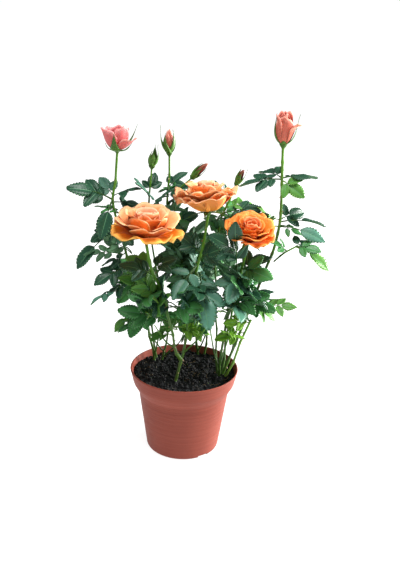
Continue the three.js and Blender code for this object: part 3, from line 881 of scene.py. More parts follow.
# Leaves that can be told apart, by their mass and the cane they spring from. Each has the height in mm at
# which it leaves the cane, the bearing and slope in degrees of the line to its tip, its reach in mm, how many
# leaflets, the end leaflet's length in mm, its tone, and how far its face is turned from up towards the
# front, from 0 to 1.
LONE_LEAVES = {
    ("leaves_top_left", "cane_left_tall"): [
        (281, 200, 24, 50, 5, 28, DEEP, 0.45), (284, 140, 44, 24, 3, 19, BLUE, 0.7),
        (281, 246, -50, 38, 1, 31, DEEP, 0.5), (284, 347, 24, 33, 5, 19, DEEP, 0.0),
        (278, 20, -8, 36, 3, 24, DEEP, 0.3),
    ],
    ("leaves_left", "cane_left_tall"): [
        (250, 202, -36, 63, 1, 31, DEEP, 0.5), (250, 205, -18, 34, 5, 19, DEEP, 0.5),
        (246, 300, -8, 30, 5, 18, DEEP, 0.5),
    ],
    ("leaves_left_low", "cane_left_tall"): [
        (208, 211, -17, 46, 5, 21, DEEP, 0.4), (216, 171, -10, 32, 3, 19, DEEP, 0.3),
        (190, 240, -20, 36, 3, 22, MID, 0.6),
    ],
    ("leaves_low_left", "cane_left_tall"): [
        (160, 203, -34, 44, 3, 19, FRESH, 0.2), (156, 251, -20, 42, 5, 25, MID, 0.3),
    ],
    ("leaves_right_top", "cane_right_tall"): [
        (312, 191, -4, 45, 5, 26, DEEP, 0.1), (313, 134, 12, 29, 3, 22, DEEP, 0.4),
        (311, 323, -20, 25, 3, 21, FRESH, 0.9), (314, 20, 2, 40, 3, 26, DEEP, 0.0),
    ],
    ("leaves_right", "cane_right_tall"): [
        (268, 9, 2, 50, 1, 28, DEEP, 0.0), (264, 345, -8, 50, 1, 29, BLUE, 0.6),
        (262, 352, -10, 26, 3, 14, MID, 0.4), (270, 30, 14, 30, 3, 22, DEEP, 0.6),
        (270, 143, -12, 26, 5, 14, FRESH, 0.3),
    ],
    ("leaves_right_branch", "branch_right"): [
        (246, 351, -24, 42, 1, 28, FRESH, 0.4), (246, 340, 2, 26, 3, 18, MID, 0.4),
        (245, 33, 18, 22, 3, 18, DEEP, 0.3), (240, 190, 40, 20, 3, 17, MID, 0.3),
    ],
    ("leaves_right_low", "cane_right_tall"): [
        (172, 353, 8, 50, 7, 17, FRESH, 0.4), (176, 314, 14, 30, 3, 22, MID, 0.5),
    ],
    ("leaves_low_inner", "cane_right_pale"): [
        (160, 201, 9, 30, 3, 16, BRIGHT, 0.5), (162, 181, 20, 18, 3, 14, BRIGHT, 0.5),
        (148, 196, -6, 34, 3, 16, BRIGHT, 0.6),
    ],
    ("leaves_front", "cane_front_centre"): [
        (214, 288, -38, 66, 5, 36, BLUE, 0.8), (222, 236, -28, 50, 3, 27, BLUE, 0.7),
    ],
    ("leaves_front_right", "cane_right_bloom"): [
        (215, 252, -18, 42, 5, 27, BLUE, 0.7), (222, 317, 4, 38, 3, 27, MID, 0.6),
        (220, 15, 32, 34, 3, 24, DEEP, 0.5), (232, 205, 40, 50, 5, 26, DEEP, 0.6),
        (196, 259, 65, 91, 3, 23, DEEP, 0.9),
    ],
    ("leaves_core", "cane_back_left"): [
        (246, 322, 34, 40, 5, 23, DEEP, 0.6), (236, 300, 40, 38, 5, 23, MID, 0.7),
    ],
    ("leaves_core", "cane_front_centre"): [
        (232, 165, 42, 34, 5, 21, DEEP, 0.6), (226, 330, 38, 36, 5, 23, DEEP, 0.6),
    ],
    ("leaves_front_left", "cane_front_left"): [
        (222, 150, 22, 36, 5, 21, FRESH, 0.5), (218, 192, 26, 38, 5, 22, DEEP, 0.6),
        (226, 30, 20, 30, 5, 19, DEEP, 0.5),
    ],
    ("leaves_low_middle", "cane_front_left"): [(148, 150, -4, 32, 5, 19, FRESH, 0.4)],
    ("leaves_low_middle", "cane_left_inner"): [
        (152, 282, -12, 34, 5, 20, MID, 0.4), (146, 330, -4, 30, 5, 18, FRESH, 0.4),
    ],
    ("leaves_low_middle", "cane_front_centre"): [(150, 20, -10, 30, 5, 18, BRIGHT, 0.5)],
    ("leaves_top_centre", "cane_right_inner"): [(284, 178, 44, 32, 3, 18, DEEP, 0.3)],
    ("leaves_top_right", "cane_right_inner"): [
        (262, 355, 12, 44, 5, 18, MID, 0.3), (268, 2, 10, 42, 5, 20, DEEP, 0.5),
        (274, 20, 4, 34, 5, 17, FRESH, 0.4),
    ],
    ("leaves_top_middle", "cane_left_inner"): [
        (282, 246, 44, 26, 3, 25, BLUE, 0.4), (288, 67, 60, 20, 3, 17, DEEP, 0.3),
    ],
    ("leaves_top_middle", "cane_back_left"): [
        (290, 37, 40, 26, 3, 20, DEEP, 0.2), (284, 343, 24, 32, 3, 21, DEEP, 0.2),
    ],
}
# How many more leaves fill each mass, the length of their end leaflets in mm, and their tones.
FILLING = {
    "leaves_top_left": (1, 18, (DEEP, MID)),
    "leaves_left": (2, 18, (DEEP, MID)),
    "leaves_left_low": (3, 20, (DEEP, MID, BLUE)),
    "leaves_low_left": (2, 19, (MID, FRESH)),
    "leaves_front_left": (10, 23, (DEEP, MID, MID, FRESH)),
    "leaves_front": (7, 25, (DEEP, BLUE, MID)),
    "leaves_front_right": (8, 25, (DEEP, BLUE, MID)),
    "leaves_core": (22, 24, (DEEP, MID, BLUE, MID)),
    "leaves_right_low": (1, 17, (FRESH, MID)),
    "leaves_right_branch": (0, 18, (MID,)),
    "leaves_right": (0, 18, (MID,)),
    "leaves_right_top": (0, 18, (MID,)),
    "leaves_top_middle": (5, 21, (DEEP, MID)),
    "leaves_top_centre": (6, 20, (DEEP, MID)),
    "leaves_top_right": (5, 18, (DEEP, FRESH)),
    "leaves_low_inner": (2, 15, (BRIGHT, FRESH)),
    "leaves_low_middle": (4, 19, (FRESH, MID, BRIGHT)),
    "leaves_back_left": (12, 25, (DEEP, MID, BLUE)),
    "leaves_back": (13, 25, (DEEP, MID, BLUE)),
    "leaves_back_right": (11, 25, (DEEP, MID, BLUE)),
    "leaves_back_low": (5, 21, (MID, DEEP, FRESH)),
}
YOUNG_MASSES = ("leaves_right_branch", "leaves_right_low", "leaves_low_inner", "leaves_low_middle")
TRIES = 14
ROOM = 20 * MM  # more than this between two leaves' middles counts for nothing
TWIG_RADIUS, SHORTEST_TWIG = 0.8 * MM, 3 * MM
LONE_DROOP = 0.35
TO_FRONT = np.array((0.1, -1.0, 0.0))


def limb_samples():
    """Points down the middle of every cane, from which filling leaves may spring."""
    return np.vstack([limb.path[len(limb.path) // 6::5] for limb in LIMBS.values()])


def lone_leaf(leaves, stalks, cane, row, dice):
    """One leaf of LONE_LEAVES. Returns about where its middle is."""
    height, bearing, slope, reach, count, blade, tone, fronted = row
    root, _ = LIMBS[cane].at(height * MM)
    way = heading(bearing, slope + math.degrees(LONE_DROOP) * 0.45)
    face = UP * (1 - 0.7 * fronted) + TO_FRONT * fronted
    compound_leaf(leaves, stalks, root, way, face, reach * MM, count, blade * MM, tone, LONE_DROOP, dice)
    return root + heading(bearing, slope) * reach * MM * 0.6


def leaf_score(mass, centre, way, side, reach, blade, others):
    """How well a leaf fits in its mass: its ends and sides inside, and its middle away from the others."""
    ends = (centre + way * reach * 0.5, centre - way * reach * 0.25, centre + side * blade * 0.8,
            centre - side * blade * 0.8)
    outside = sum(max(0.0, MM - mass.depth(end)) for end in ends)
    room = min((np.linalg.norm(centre - other) for other in others), default=ROOM)
    return min(room, ROOM) - 1.1 * outside


def filling_leaf(leaves, stalks, mass, roots, others, blade, tone, dice):
    """One leaf grown to where its mass has most room, from a near cane or twig, rather one below it.

    Returns where its middle is, and points from which later leaves may spring.
    """
    best, best_score = None, -1e9
    for _ in range(TRIES):
        centre = mass.pick(dice)
        climb = np.maximum(0, roots[:, 2] - centre[2] + 4 * MM)
        root = roots[np.argmin(np.linalg.norm(roots - centre, axis=1) + 1.2 * climb)]
        outward = unit(centre * np.array((1, 1, 0)) + np.array((1e-6, 0, 0)))
        way = unit(0.8 * unit(centre - root + UP * 1e-6) + 0.35 * outward + UP * dice.uniform(-0.35, 0.45))
        length = blade * dice.uniform(0.85, 1.1)
        reach = length * dice.uniform(1.9, 2.3)
        face = across(UP * 0.8 + 0.5 * outward + 0.3 * jolt(dice), way)
        score = leaf_score(mass, centre, way, np.cross(face, way), reach, length, others)
        if score > best_score:
            best, best_score = (centre, root, way, face, reach, length), score
    centre, root, way, face, reach, length = best
    base = centre - way * reach * 0.5
    grown = [centre]
    if np.linalg.norm(base - root) > SHORTEST_TWIG:
        leave = unit(0.6 * unit(base - root) + 0.5 * UP)
        path = twig(stalks, root, leave, base, way, TWIG_RADIUS, stalk_kind(tone))
        grown.extend(path[2::3])
    compound_leaf(leaves, stalks, base, way, face, reach, 5, length, tone, dice.uniform(0.1, 0.5), dice)
    return centre, grown


# The name, colour and roughness of each finish, in the order of the leaf tones and of the stalk kinds.
LEAF_FINISHES = (
    ("leaf_deep", (34, 76, 54), 0.36),
    ("leaf_blue", (80, 130, 108), 0.4),
    ("leaf_mid", (64, 128, 66), 0.38),
    ("leaf_fresh", (86, 144, 58), 0.42),
    ("leaf_bright", (118, 172, 50), 0.45),
    ("leaf_under", (80, 122, 86), 0.6),
    ("leaf_under_young", (130, 168, 90), 0.6),
    ("leaf_rib", (92, 142, 102), 0.45),
)
STALK_FINISHES = (("stalk_green", (52, 88, 34), 0.45), ("stalk_young", (92, 134, 44), 0.45))


def leaf_surface(name, colour, gloss):
    """A glossy leaf of one colour, with a fine uneven sheen."""
    finish = Finish(name, srgb(*colour), gloss, Specular_IOR_Level=0.32)
    finish.roughness(finish.cloud(420, 3, gloss - 0.07, gloss + 0.1))
    finish.bump(finish.noise(1500, 3), 0.25, 0.12 * MM)
    return finish.material


def make_foliage():
    """Leaves and twigs in place of every leaf mass."""
    leaf_skins = [leaf_surface(*row) for row in LEAF_FINISHES]
    stalk_skins = [leaf_surface(*row) for row in STALK_FINISHES]
    limb_points = limb_samples()
    for node, (count, blade, tones) in FILLING.items():
        dice = random.Random(node)
        mass, leaves, stalks = Mass(node), Heap(), Heap()
        middles = [lone_leaf(leaves, stalks, cane, row, dice)
                   for (home, cane), rows in LONE_LEAVES.items() if home == node for row in rows]
        roots = limb_points
        for _ in range(count):
            tone = dice.choice(tones)
            middle, grown = filling_leaf(leaves, stalks, mass, roots, middles, blade * MM, tone, dice)
            middles.append(middle)
            roots = np.vstack([roots, grown])
        place = node.removeprefix("leaves_")
        leaves.piece("foliage_" + place, leaf_skins, "leaf_young" if node in YOUNG_MASSES else "leaf", node)
        stalks.piece("twigs_" + place, stalk_skins, "cane")


# ---- blooms and buds -----------------------------------------------------------------------

PETAL_ROWS, PETAL_COLUMNS, SEPAL_COLUMNS = 16, 15, 7
PETAL_THICKNESS = 0.38 * MM
LINE_POINTS = 65
HEART, LIGHT, GOLD, HEART_BACK, LIGHT_BACK, GOLD_BACK, GREEN = range(7)
BACK_OF = {HEART: HEART_BACK, LIGHT: LIGHT_BACK, GOLD: GOLD_BACK, GREEN: GREEN}


def lean_line(lean, curl, length):
    """A petal's middle line: out and up distances and the lean at even steps from foot to rim."""
    t = np.linspace(0, 1, LINE_POINTS)
    foot, waist, rim = np.radians(lean)
    angle = foot + (4 * waist - 3 * foot - rim) * t + (2 * foot + 2 * rim - 4 * waist) * t ** 2
    angle = angle + math.radians(curl) * np.clip((t - 0.7) / 0.3, 0, 1) ** 2
    step = length / (len(t) - 1)
    out = np.concatenate([[0], np.cumsum(np.sin(angle[:-1])) * step])
    up = np.concatenate([[0], np.cumsum(np.cos(angle[:-1])) * step])
    return t, out, up, angle


def petal_outline(point):
    """A petal's grid, with its half width and reach there as shares: narrow foot, round shoulders."""
    v = np.linspace(0.03, 1, PETAL_ROWS)[:, None]
    u = np.linspace(-1, 1, PETAL_COLUMNS)[None]
    width = 0.24 + 0.76 * np.sin(0.5 * math.pi * v ** 0.8)
    reach = v * (1 - 0.28 * np.abs(u) ** 2.8 + point * np.exp(-(u / 0.22) ** 2))
    return u, v, width, reach


def sepal_outline():
    """The same for a sepal: broad foot, long thread-like tip."""
    v = np.linspace(0.0, 1, PETAL_ROWS)[:, None]
    u = np.linspace(-1, 1, SEPAL_COLUMNS)[None]
    body = np.clip(1 - np.clip(v / 0.86, 0, 1) ** 1.9, 0, 1) ** 0.9
    width = (0.7 + 0.3 * np.sin(math.pi * np.clip(v / 0.6, 0, 1))) * body + 0.2 * (1.03 - v) ** 0.6
    return u, v, width, v + 0 * u


def petal(heap, seat, axis, bearing, start, length, half, lean, wrap, curl, ruffle, point, tint, dice):
    """A closed petal, or a sepal where its tint is green, that leans out from the axis and wraps round it.

    bearing turns it round the axis; start is how far out its foot is; lean is its angle from the axis at
    foot, waist and rim, in degrees; wrap is the radius that it bends round; curl rolls the rim, by so many
    degrees; point is how far its middle stands past its shoulders, as a share of its length.
    """
    east = across(np.array((1.0, 0.0, 0.0)), axis)
    north = np.cross(axis, east)
    out_way = east * math.cos(bearing) + north * math.sin(bearing)
    side_way = np.cross(axis, out_way)
    u, v, width, reach = sepal_outline() if tint == GREEN else petal_outline(point)
    t, out, up, angle = lean_line(lean, curl, length)
    place = np.clip(reach, 0, 1)
    along_out, along_up, tilt = (np.interp(place, t, line) for line in (out, up, angle))
    past = np.maximum(reach - 1, 0) * length
    bend = u * width * half / wrap
    phase, fine_phase = dice.uniform(0, 6.3), dice.uniform(0, 6.3)
    waves = np.sin(dice.uniform(1.4, 2.4) * u * math.pi + phase)
    waves = waves + 0.25 * np.sin(4.3 * u * math.pi + fine_phase)
    hollow = (1 - np.cos(bend)) * wrap + ruffle * v ** 3 * waves - 0.1 * half * np.abs(u) ** 4 * v ** 2

    def lifted(rise):
        """The petal's surface, raised by so much towards its inner face."""
        o = start + along_out - np.cos(tilt) * (hollow + rise) + np.sin(tilt) * past
        w = along_up + np.sin(tilt) * (hollow + rise) + np.cos(tilt) * past
        s = np.sin(bend) * wrap
        return o[..., None] * out_way + s[..., None] * side_way + w[..., None] * axis

    top, under = lifted(0.0), lifted(-PETAL_THICKNESS)[1:-1, 1:-1]
    upper, lower = blade_grid(*top.shape[:2])
    maps = np.stack([np.broadcast_to((u + 1) / 2, top.shape[:2]), np.broadcast_to(v, top.shape[:2])], -1)
    heap.add(seat + blade_corners(top, under), np.vstack([upper, lower]),
             np.concatenate([np.full(len(upper), tint), np.full(len(lower), BACK_OF[tint])]),
             np.vstack([maps.reshape(-1, 2), maps[1:-1, 1:-1].reshape(-1, 2)]))


def hip(heap, foot, axis, radius, length, thin):
    """The green swelling under a bloom."""
    t = np.linspace(0, 1, 10)
    path = foot + axis * (t * length)[:, None]
    radii = thin + (radius - thin) * np.sin(0.5 * math.pi * np.clip(t * 1.15, 0, 1)) ** 1.6
    radii[-1] *= 0.8
    tube(heap, path, radii, 14, GREEN)


def bloom_seat(node):
    """The top of the cane that carries a bloom, its thickness, and the bloom's radius and height."""
    low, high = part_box(node)
    middle = np.array(((low.x + high.x) / 2, (low.y + high.y) / 2, low.z))
    limb = min(LIMBS.values(), key=lambda limb: np.linalg.norm(limb.path[-1] - middle))
    return limb.path[-1], limb.radii[-1], (high.x - low.x) / 2, high.z - low.z


# Open blooms: the way each faces (right, back, up), the first ring's bearing in degrees, and its rings of
# petals. A ring: how many, foot's distance from the axis, length and half width as shares of the bloom's
# radius; lean at foot, waist and rim; wrap as a share of the radius; roll of the rim in degrees; ruffle in
# mm; point; tint.
OPEN_BLOOMS = {
    "bloom_left": ((0.05, -0.06, 1.0), -117.5, [
        (4, 0.03, 0.72, 0.19, (5, 3, -12), 0.13, 0, 0.1, 0.0, HEART),
        (5, 0.05, 0.76, 0.30, (12, 5, -5), 0.25, 10, 0.3, 0.0, HEART),
        (5, 0.06, 0.84, 0.44, (24, 12, 14), 0.44, 28, 0.5, 0.0, HEART),
        (5, 0.07, 0.98, 0.58, (42, 30, 38), 0.80, 38, 0.9, 0.0, LIGHT),
        (7, 0.08, 1.09, 0.60, (58, 50, 62), 1.25, 30, 1.3, 0.0, LIGHT),
        (5, 0.08, 1.00, 0.60, (74, 74, 96), 1.60, 14, 2.4, 0.06, GOLD),
    ]),
    "bloom_centre": ((-0.10, 0.12, 1.0), 75, [
        (3, 0.03, 0.92, 0.22, (5, 3, -8), 0.15, 0, 0.1, 0.0, HEART),
        (4, 0.06, 1.04, 0.40, (16, 8, 6), 0.36, 14, 0.4, 0.0, HEART),
        (4, 0.07, 1.10, 0.52, (32, 26, 40), 0.60, 30, 1.0, 0.0, LIGHT),
        (5, 0.08, 1.16, 0.70, (48, 46, 68), 0.95, 34, 2.2, 0.0, LIGHT),
        (5, 0.08, 1.16, 0.76, (56, 54, 80), 1.20, 30, 3.2, 0.02, LIGHT),
    ]),
    "bloom_right": ((0.12, -0.32, 1.0), 0, [
        (4, 0.03, 0.76, 0.18, (5, 3, -14), 0.13, 0, 0.1, 0.02, HEART),
        (5, 0.06, 0.82, 0.28, (14, 7, -2), 0.24, 12, 0.3, 0.02, HEART),
        (5, 0.07, 0.88, 0.36, (24, 14, 10), 0.38, 22, 0.5, 0.02, HEART),
        (6, 0.08, 0.94, 0.44, (34, 22, 24), 0.56, 32, 0.7, 0.02, GOLD),
        (6, 0.08, 1.02, 0.50, (45, 35, 44), 0.80, 36, 0.9, 0.02, GOLD),
        (6, 0.08, 1.06, 0.54, (54, 47, 60), 1.10, 34, 1.3, 0.03, GOLD),
        (6, 0.08, 1.00, 0.54, (62, 58, 76), 1.4, 30, 1.8, 0.04, GOLD),
    ]),
}
SEPALS_OF_OPEN_BLOOM = 5


def open_bloom(node, family, slot):
    """A full-blown rose: rings of petals that lean further out from heart to guard petals."""
    dice = random.Random(node)
    facing, turn, rings = OPEN_BLOOMS[node]
    foot, thin, radius, _ = bloom_seat(node)
    axis, turn = unit(facing), math.radians(turn)
    heap = Heap()
    seat = foot + axis * 0.1 * radius
    hip(heap, foot - axis * 2 * MM, axis, 0.12 * radius, 0.2 * radius, thin * 0.9)
    for count, start, length, half, lean, wrap, curl, ruffle, point, tint in rings:
        loose = lean[1] / 8
        for number in range(count):
            bearing = turn + (number + dice.uniform(-0.16, 0.16)) * 2 * math.pi / count
            own_length = length * radius * dice.uniform(0.88, 1.06)
            own_half = half * radius * dice.uniform(0.92, 1.08)
            own_lean = [angle + dice.uniform(-loose, loose) for angle in lean]
            own_curl, own_ruffle = curl + dice.uniform(-12, 12), ruffle * MM * dice.uniform(0.6, 1.6)
            petal(heap, seat, axis, bearing, start * radius, own_length, own_half, own_lean,
                  wrap * radius, own_curl, own_ruffle, point, tint, dice)
        turn += GOLDEN
    for number in range(SEPALS_OF_OPEN_BLOOM):
        bearing = turn + number * 2 * math.pi / SEPALS_OF_OPEN_BLOOM
        petal(heap, seat - axis * MM, axis, bearing, 0.08 * radius, 0.62 * radius, 0.085 * radius,
              (80, 100, 120), 0.3 * radius, 0, 0.2 * MM, 0, GREEN, dice)
    heap.piece("rose_" + node.removeprefix("bloom_"), family, slot, node)


# Closed and opening blooms: the way each faces (right, back, up), its hip's share of the radius, its petals,
# the radius that its sepals wrap round, as a share, and its sepals. Petals: the bearing in degrees of each
# and its length as a share of the height; foot's distance as a share of the radius; half width as a share of
# the height; lean at foot, waist and rim; wrap; roll; ruffle in mm; tint. A sepal: bearing, length, half
# width, lean.
SMALL_BLOOMS = {
    "bloom_opening": ((0.02, -0.04, 1.0), 0.2, [
        ([(0, 0.70), (120, 0.70), (240, 0.68)], 0.05, 0.30, (8, 2, -4), 0.32, 0, 0.1, HEART),
        ([(85, 0.86)], 0.08, 0.48, (60, 6, 0), 0.60, 16, 0.6, LIGHT),
        ([(30, 0.84)], 0.08, 0.42, (70, 14, 24), 0.62, 22, 0.6, LIGHT),
        ([(150, 0.86)], 0.08, 0.44, (70, 16, 24), 0.62, 20, 0.6, LIGHT),
        ([(-52, 1.02)], 0.12, 0.38, (74, 10, 2), 0.62, 14, 0.8, LIGHT),
        ([(216, 1.02)], 0.13, 0.54, (76, 24, 26), 0.66, 6, 0.9, LIGHT),
        ([(-34, 0.92)], 0.13, 0.46, (80, 46, 66), 0.85, 10, 1.1, GOLD),
    ], 0.6, [
        (-96, 1.02, 0.18, (100, 20, -2)), (212, 0.50, 0.12, (96, 44, 20)),
        (-40, 0.80, 0.12, (96, 50, 42)), (24, 1.16, 0.11, (70, 28, 24)),
        (140, 0.72, 0.15, (80, 30, 30)),
    ]),
    "bud_tall": ((0.0, -0.03, 1.0), 0.36, [
        ([(90, 0.78), (210, 0.76), (330, 0.77)], 0.06, 0.22, (14, 2, -8), 0.50, 0, 0.1, HEART),
        ([(120, 0.82)], 0.10, 0.30, (60, 0, -2), 0.76, 10, 0.5, LIGHT),
        ([(50, 0.82)], 0.10, 0.30, (60, 0, 0), 0.76, 14, 0.5, LIGHT),
        ([(185, 0.79)], 0.12, 0.30, (66, 2, 0), 0.84, 18, 0.5, LIGHT),
        ([(-100, 0.76)], 0.12, 0.31, (66, 0, 0), 0.84, 22, 0.5, LIGHT),
        ([(-12, 0.64)], 0.14, 0.28, (70, 18, 52), 0.84, 40, 0.6, GOLD),
    ], 0.9, [
        (-74, 0.40, 0.10, (66, 2, -2)), (188, 0.88, 0.10, (66, 0, 0)),
        (-14, 0.92, 0.10, (70, 10, 22)), (62, 0.78, 0.12, (66, 4, 4)),
        (130, 0.80, 0.12, (66, 2, 2)),
    ]),
    "bud_pink": ((-0.04, -0.04, 1.0), 0.5, [
        ([(60, 0.72), (180, 0.70)], 0.10, 0.18, (20, 2, -12), 0.5, 0, 0.0, HEART),
        ([(300, 0.76)], 0.10, 0.18, (20, 2, -10), 0.5, 0, 0.1, LIGHT),
        ([(-60, 0.72), (80, 0.70), (200, 0.70)], 0.12, 0.19, (30, 0, -14), 0.65, 4, 0.1, LIGHT),
    ], 1.0, [
        (180, 1.02, 0.16, (58, 4, 8)), (-22, 0.86, 0.16, (50, 0, -10)),
        (-130, 0.78, 0.15, (58, 2, -12)), (42, 0.82, 0.16, (58, 2, -10)),
        (110, 0.82, 0.16, (58, 2, -8)),
    ]),
    "bud_green": ((0.10, -0.04, 1.0), 0.75, [
        ([(0, 0.40), (180, 0.40)], 0.10, 0.12, (26, 0, -30), 0.5, 0, 0.0, HEART),
    ], 1.0, [
        (-80, 0.62, 0.18, (66, -8, -22)), (2, 0.92, 0.18, (66, -8, 6)),
        (74, 0.88, 0.18, (66, -8, -4)), (146, 0.62, 0.18, (66, -8, -20)),
        (212, 0.62, 0.18, (66, -8, -22)),
    ]),
    "bud_red": ((0.95, -0.12, 1.0), 0.36, [
        ([(60, 1.16), (180, 1.14)], 0.05, 0.22, (22, 0, -12), 0.42, 0, 0.0, HEART),
        ([(300, 1.20)], 0.05, 0.22, (22, 0, -10), 0.42, 0, 0.2, GOLD),
    ], 0.6, [
        (-20, 1.10, 0.15, (34, 0, -10)), (50, 1.04, 0.15, (34, 0, -10)),
        (120, 1.10, 0.15, (34, 0, -8)), (190, 1.18, 0.15, (34, 0, -6)),
        (255, 1.04, 0.15, (34, 0, -10)),
    ]),
    "bud_hidden": ((0.42, -0.10, 1.0), 0.5, [
        ([(60, 0.94), (180, 0.94)], 0.08, 0.22, (20, 0, -14), 0.5, 0, 0.0, HEART),
        ([(300, 0.96)], 0.08, 0.22, (20, 0, -12), 0.5, 0, 0.0, HEART),
    ], 0.7, [
        (-15, 1.24, 0.19, (40, 0, -2)), (57, 1.05, 0.19, (40, 0, -10)),
        (129, 1.05, 0.19, (40, 0, -10)), (201, 1.10, 0.19, (40, 0, -8)),
        (255, 0.95, 0.19, (40, 0, -10)),
    ]),
}
HIP_LENGTH = 0.17  # as a share of the height
SMALL_BLOOM_POINT = 0.1


def small_bloom(node, family, slot):
    """A bud or an opening bloom, petal by petal, with the sepals that hug it."""
    dice = random.Random(node)
    facing, hip_share, petals, sepal_wrap, sepals = SMALL_BLOOMS[node]
    foot, thin, radius, height = bloom_seat(node)
    axis = unit(facing)
    heap = Heap()
    hip_length = HIP_LENGTH * height
    hip(heap, foot - axis * MM, axis, hip_share * radius, hip_length + MM, thin * 0.9)
    seat = foot + axis * 0.8 * hip_length
    for places, start, half, lean, wrap, curl, ruffle, tint in petals:
        for bearing, length in places:
            petal(heap, seat, axis, math.radians(bearing), start * radius, length * height, half * height,
                  lean, wrap * radius, curl, ruffle * MM, SMALL_BLOOM_POINT, tint, dice)
    for bearing, length, half, lean in sepals:
        petal(heap, seat - axis * 0.4 * MM, axis, math.radians(bearing), 0.2 * radius, length * height,
              half * height, lean, sepal_wrap * radius, 0, 0, 0, GREEN, dice)
    heap.piece("rose_" + node.removeprefix("bloom_"), family, slot, node)


def petal_surface(name, foot, body, rim):
    """Velvety petal: deep at the foot, pale at the very rim, finely uneven."""
    finish = Finish(name, body, 0.6, Specular_IOR_Level=0.2, Subsurface_Weight=0.1,
                    Subsurface_Scale=1.5 * MM, Sheen_Weight=0.05, Sheen_Roughness=0.4)
    finish.shader.inputs["Subsurface Radius"].default_value = (1.0, 0.4, 0.2)
    across_map, along = finish.grown()
    off_middle = finish.maths("ABSOLUTE", finish.maths("SUBTRACT", across_map, 0.5))
    edge = finish.maths("MULTIPLY_ADD", finish.maths("POWER", off_middle, 3.0), 0.7, along)
    cloud = finish.cloud(260, 3, -0.06, 0.06)
    value = finish.maths("ADD", edge, cloud)
    finish.colour(finish.ramp(value, (0.12, foot), (0.5, body), (0.82, body), (1.0, rim)))
    finish.roughness(finish.cloud(900, 2, 0.52, 0.68))
    finish.bump(finish.noise(700, 4), 0.2, 0.12 * MM)
    return finish.material


def sepal_surface(name, colour):
    """Matt green, darker towards its tip."""
    finish = Finish(name, colour, 0.5, Specular_IOR_Level=0.3)
    _, along = finish.grown()
    dark, tip = (tuple(c * share for c in colour) for share in (0.62, 0.5))
    value = finish.maths("ADD", along, finish.cloud(500, 3, -0.25, 0.25))
    finish.colour(finish.ramp(value, (0.1, colour), (0.5, dark), (0.95, tip)))
    finish.roughness(finish.cloud(900, 2, 0.42, 0.6))
    return finish.material


# The tints of each family of petals: heart, light and gold, each at its foot, body and rim.
TINTS = {
    "apricot": (((232, 108, 70), (246, 160, 122), (252, 190, 152)),
                ((232, 108, 56), (248, 162, 106), (252, 196, 146)),
                ((218, 112, 30), (240, 152, 46), (250, 188, 92))),
    "orange": (((214, 76, 32), (238, 122, 64), (246, 156, 102)),
               ((214, 78, 26), (238, 126, 50), (246, 154, 82)),
               ((210, 86, 20), (236, 130, 44), (246, 154, 74))),
    "pink": (((172, 52, 62), (204, 92, 98), (232, 144, 140)),
             ((178, 58, 66), (212, 104, 110), (236, 156, 154)),
             ((206, 108, 84), (222, 118, 112), (240, 168, 156))),
    "coral": (((138, 44, 36), (178, 78, 66), (222, 134, 118)),
              ((142, 48, 38), (190, 88, 74), (232, 150, 132)),
              ((180, 92, 60), (212, 118, 96), (238, 168, 142))),
    "dusky": (((64, 30, 26), (96, 46, 38), (132, 72, 56)),
              ((64, 30, 26), (96, 46, 38), (132, 72, 56)),
              ((88, 40, 30), (124, 62, 50), (170, 102, 78))),
}
# How much a petal's back has of its own colour, and of the gold petals' colour.
BACK_OWN, BACK_GOLD = 0.38, 0.48


def petal_family(name):
    """The finishes of a family: the petals' insides, their backs, and the green of hip and sepals."""
    tints = [[srgb(*tone) for tone in tint] for tint in TINTS[name]]
    gold = tints[-1][1]

    def back(foot, body, rim):
        """A tint's back, which is gold at the foot. Its own foot isn't used."""
        return gold, tuple(BACK_OWN * own + BACK_GOLD * other for own, other in zip(body, gold)), rim

    fronts = [petal_surface(f"petal_{name}_{i}", *tint) for i, tint in enumerate(tints)]
    backs = [petal_surface(f"petal_{name}_{i}_back", *back(*tint)) for i, tint in enumerate(tints)]
    return fronts + backs + [sepal_surface("sepal_" + name, srgb(84, 132, 46))]


# Each bloom's family of petals, and the name of a slot.
BLOOM_LOOKS = {
    "bloom_left": ("apricot", "petal_apricot"),
    "bloom_centre": ("apricot", "petal_apricot"),
    "bloom_right": ("orange", "petal_orange"),
    "bloom_opening": ("pink", "petal_pink"),
    "bud_tall": ("coral", "petal_pink"),
    "bud_pink": ("coral", "petal_pink"),
    "bud_green": ("dusky", "sepal"),
    "bud_red": ("dusky", "petal_pink"),
    "bud_hidden": ("dusky", "sepal"),
}


def make_blooms():
    """Every bloom and bud."""
    families = {name: petal_family(name) for name in TINTS}
    for node, (family, slot) in BLOOM_LOOKS.items():
        grow = open_bloom if node in OPEN_BLOOMS else small_bloom
        grow(node, families[family], slot)


# ---- stage ---------------------------------------------------------------------------------


FLOOR_HALF = 40.0
FLOOR_GREY, FLOOR_GLOW = 0.35, 0.88
SKY, SKY_STRENGTH = (0.97, 0.985, 1.0, 1), 0.36
WARM, WHITE = (1.0, 0.98, 0.95), (1.0, 1.0, 1.0)
AIM = (0, 0, 0.2)
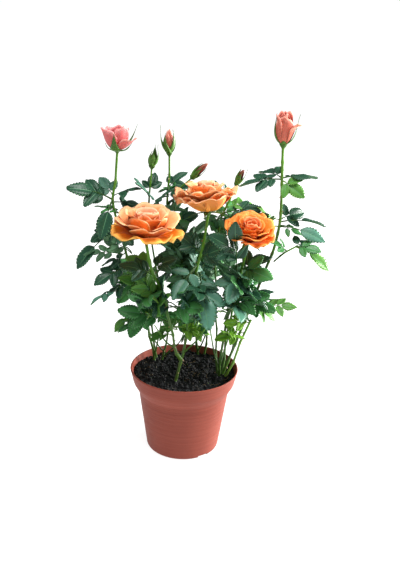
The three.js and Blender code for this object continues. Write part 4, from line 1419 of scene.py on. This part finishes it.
# The lights: name, place, width, watts and colour.
LIGHTS = (
    ("key", (1.6, 0.15, 0.6), 0.6, 46, WARM),
    ("top", (0.1, -0.3, 1.7), 0.8, 27, WHITE),
    ("edge", (1.2, 0.8, 0.3), 0.4, 36, WARM),
)
CAMERA_PLACE = (14.5 * MM, -804 * MM, 498.7 * MM)
CAMERA_PITCH = math.radians(20.75)
CAMERA_ROLL = math.radians(1.95)
SENSOR_WIDTH = 36
LENS_TO_LONG_SIDE = 800 / 570


def make_light(name, place, size, power, colour):
    """A soft round light that faces the plant."""
    lamp = bpy.data.lights.new(name, "AREA")
    lamp.shape, lamp.size, lamp.energy, lamp.color = "DISK", size, power, colour
    thing = new_object(name, lamp)
    thing.location = place
    thing.rotation_euler = (Vector(AIM) - Vector(place)).to_track_quat("-Z", "Y").to_euler()


def make_floor():
    """A wide pale floor."""
    corners = [(x * FLOOR_HALF, y * FLOOR_HALF, 0) for x, y in ((-1, -1), (1, -1), (1, 1), (-1, 1))]
    mesh = bpy.data.meshes.new("floor")
    mesh.from_pydata(corners, [], [(0, 1, 2, 3)])
    finish = Finish("floor_white", (FLOOR_GREY,) * 3, 0.85, Specular_IOR_Level=0.1,
                    Emission_Strength=FLOOR_GLOW)
    finish.shader.inputs["Emission Color"].default_value = (1, 1, 1, 1)
    finish.roughness(finish.cloud(3, 2, 0.8, 0.9))
    mesh.materials.append(finish.material)
    new_object("floor", mesh)


def make_world():
    """Even white light from all round."""
    world = bpy.data.worlds.new("studio")
    world.use_nodes = True
    sky = world.node_tree.nodes["Background"]
    sky.inputs["Color"].default_value = SKY
    sky.inputs["Strength"].default_value = SKY_STRENGTH
    bpy.context.scene.world = world


def make_camera():
    """The camera at the photograph's viewing angle."""
    lens = bpy.data.cameras.new("camera")
    lens.sensor_width = SENSOR_WIDTH
    lens.lens = SENSOR_WIDTH * LENS_TO_LONG_SIDE
    camera = new_object("camera", lens)
    camera.matrix_world = (Matrix.Translation(CAMERA_PLACE)
                           @ Matrix.Rotation(math.pi / 2 - CAMERA_PITCH, 4, "X")
                           @ Matrix.Rotation(CAMERA_ROLL, 4, "Z"))
    bpy.context.scene.camera = camera


def make_stage():
    """The floor, sky, camera and lights."""
    make_floor()
    make_world()
    make_camera()
    for row in LIGHTS:
        make_light(*row)
    bpy.context.scene.view_settings.view_transform = "Standard"


make_pot()
make_soil()
make_canes()
make_blooms()
make_foliage()
make_stage()
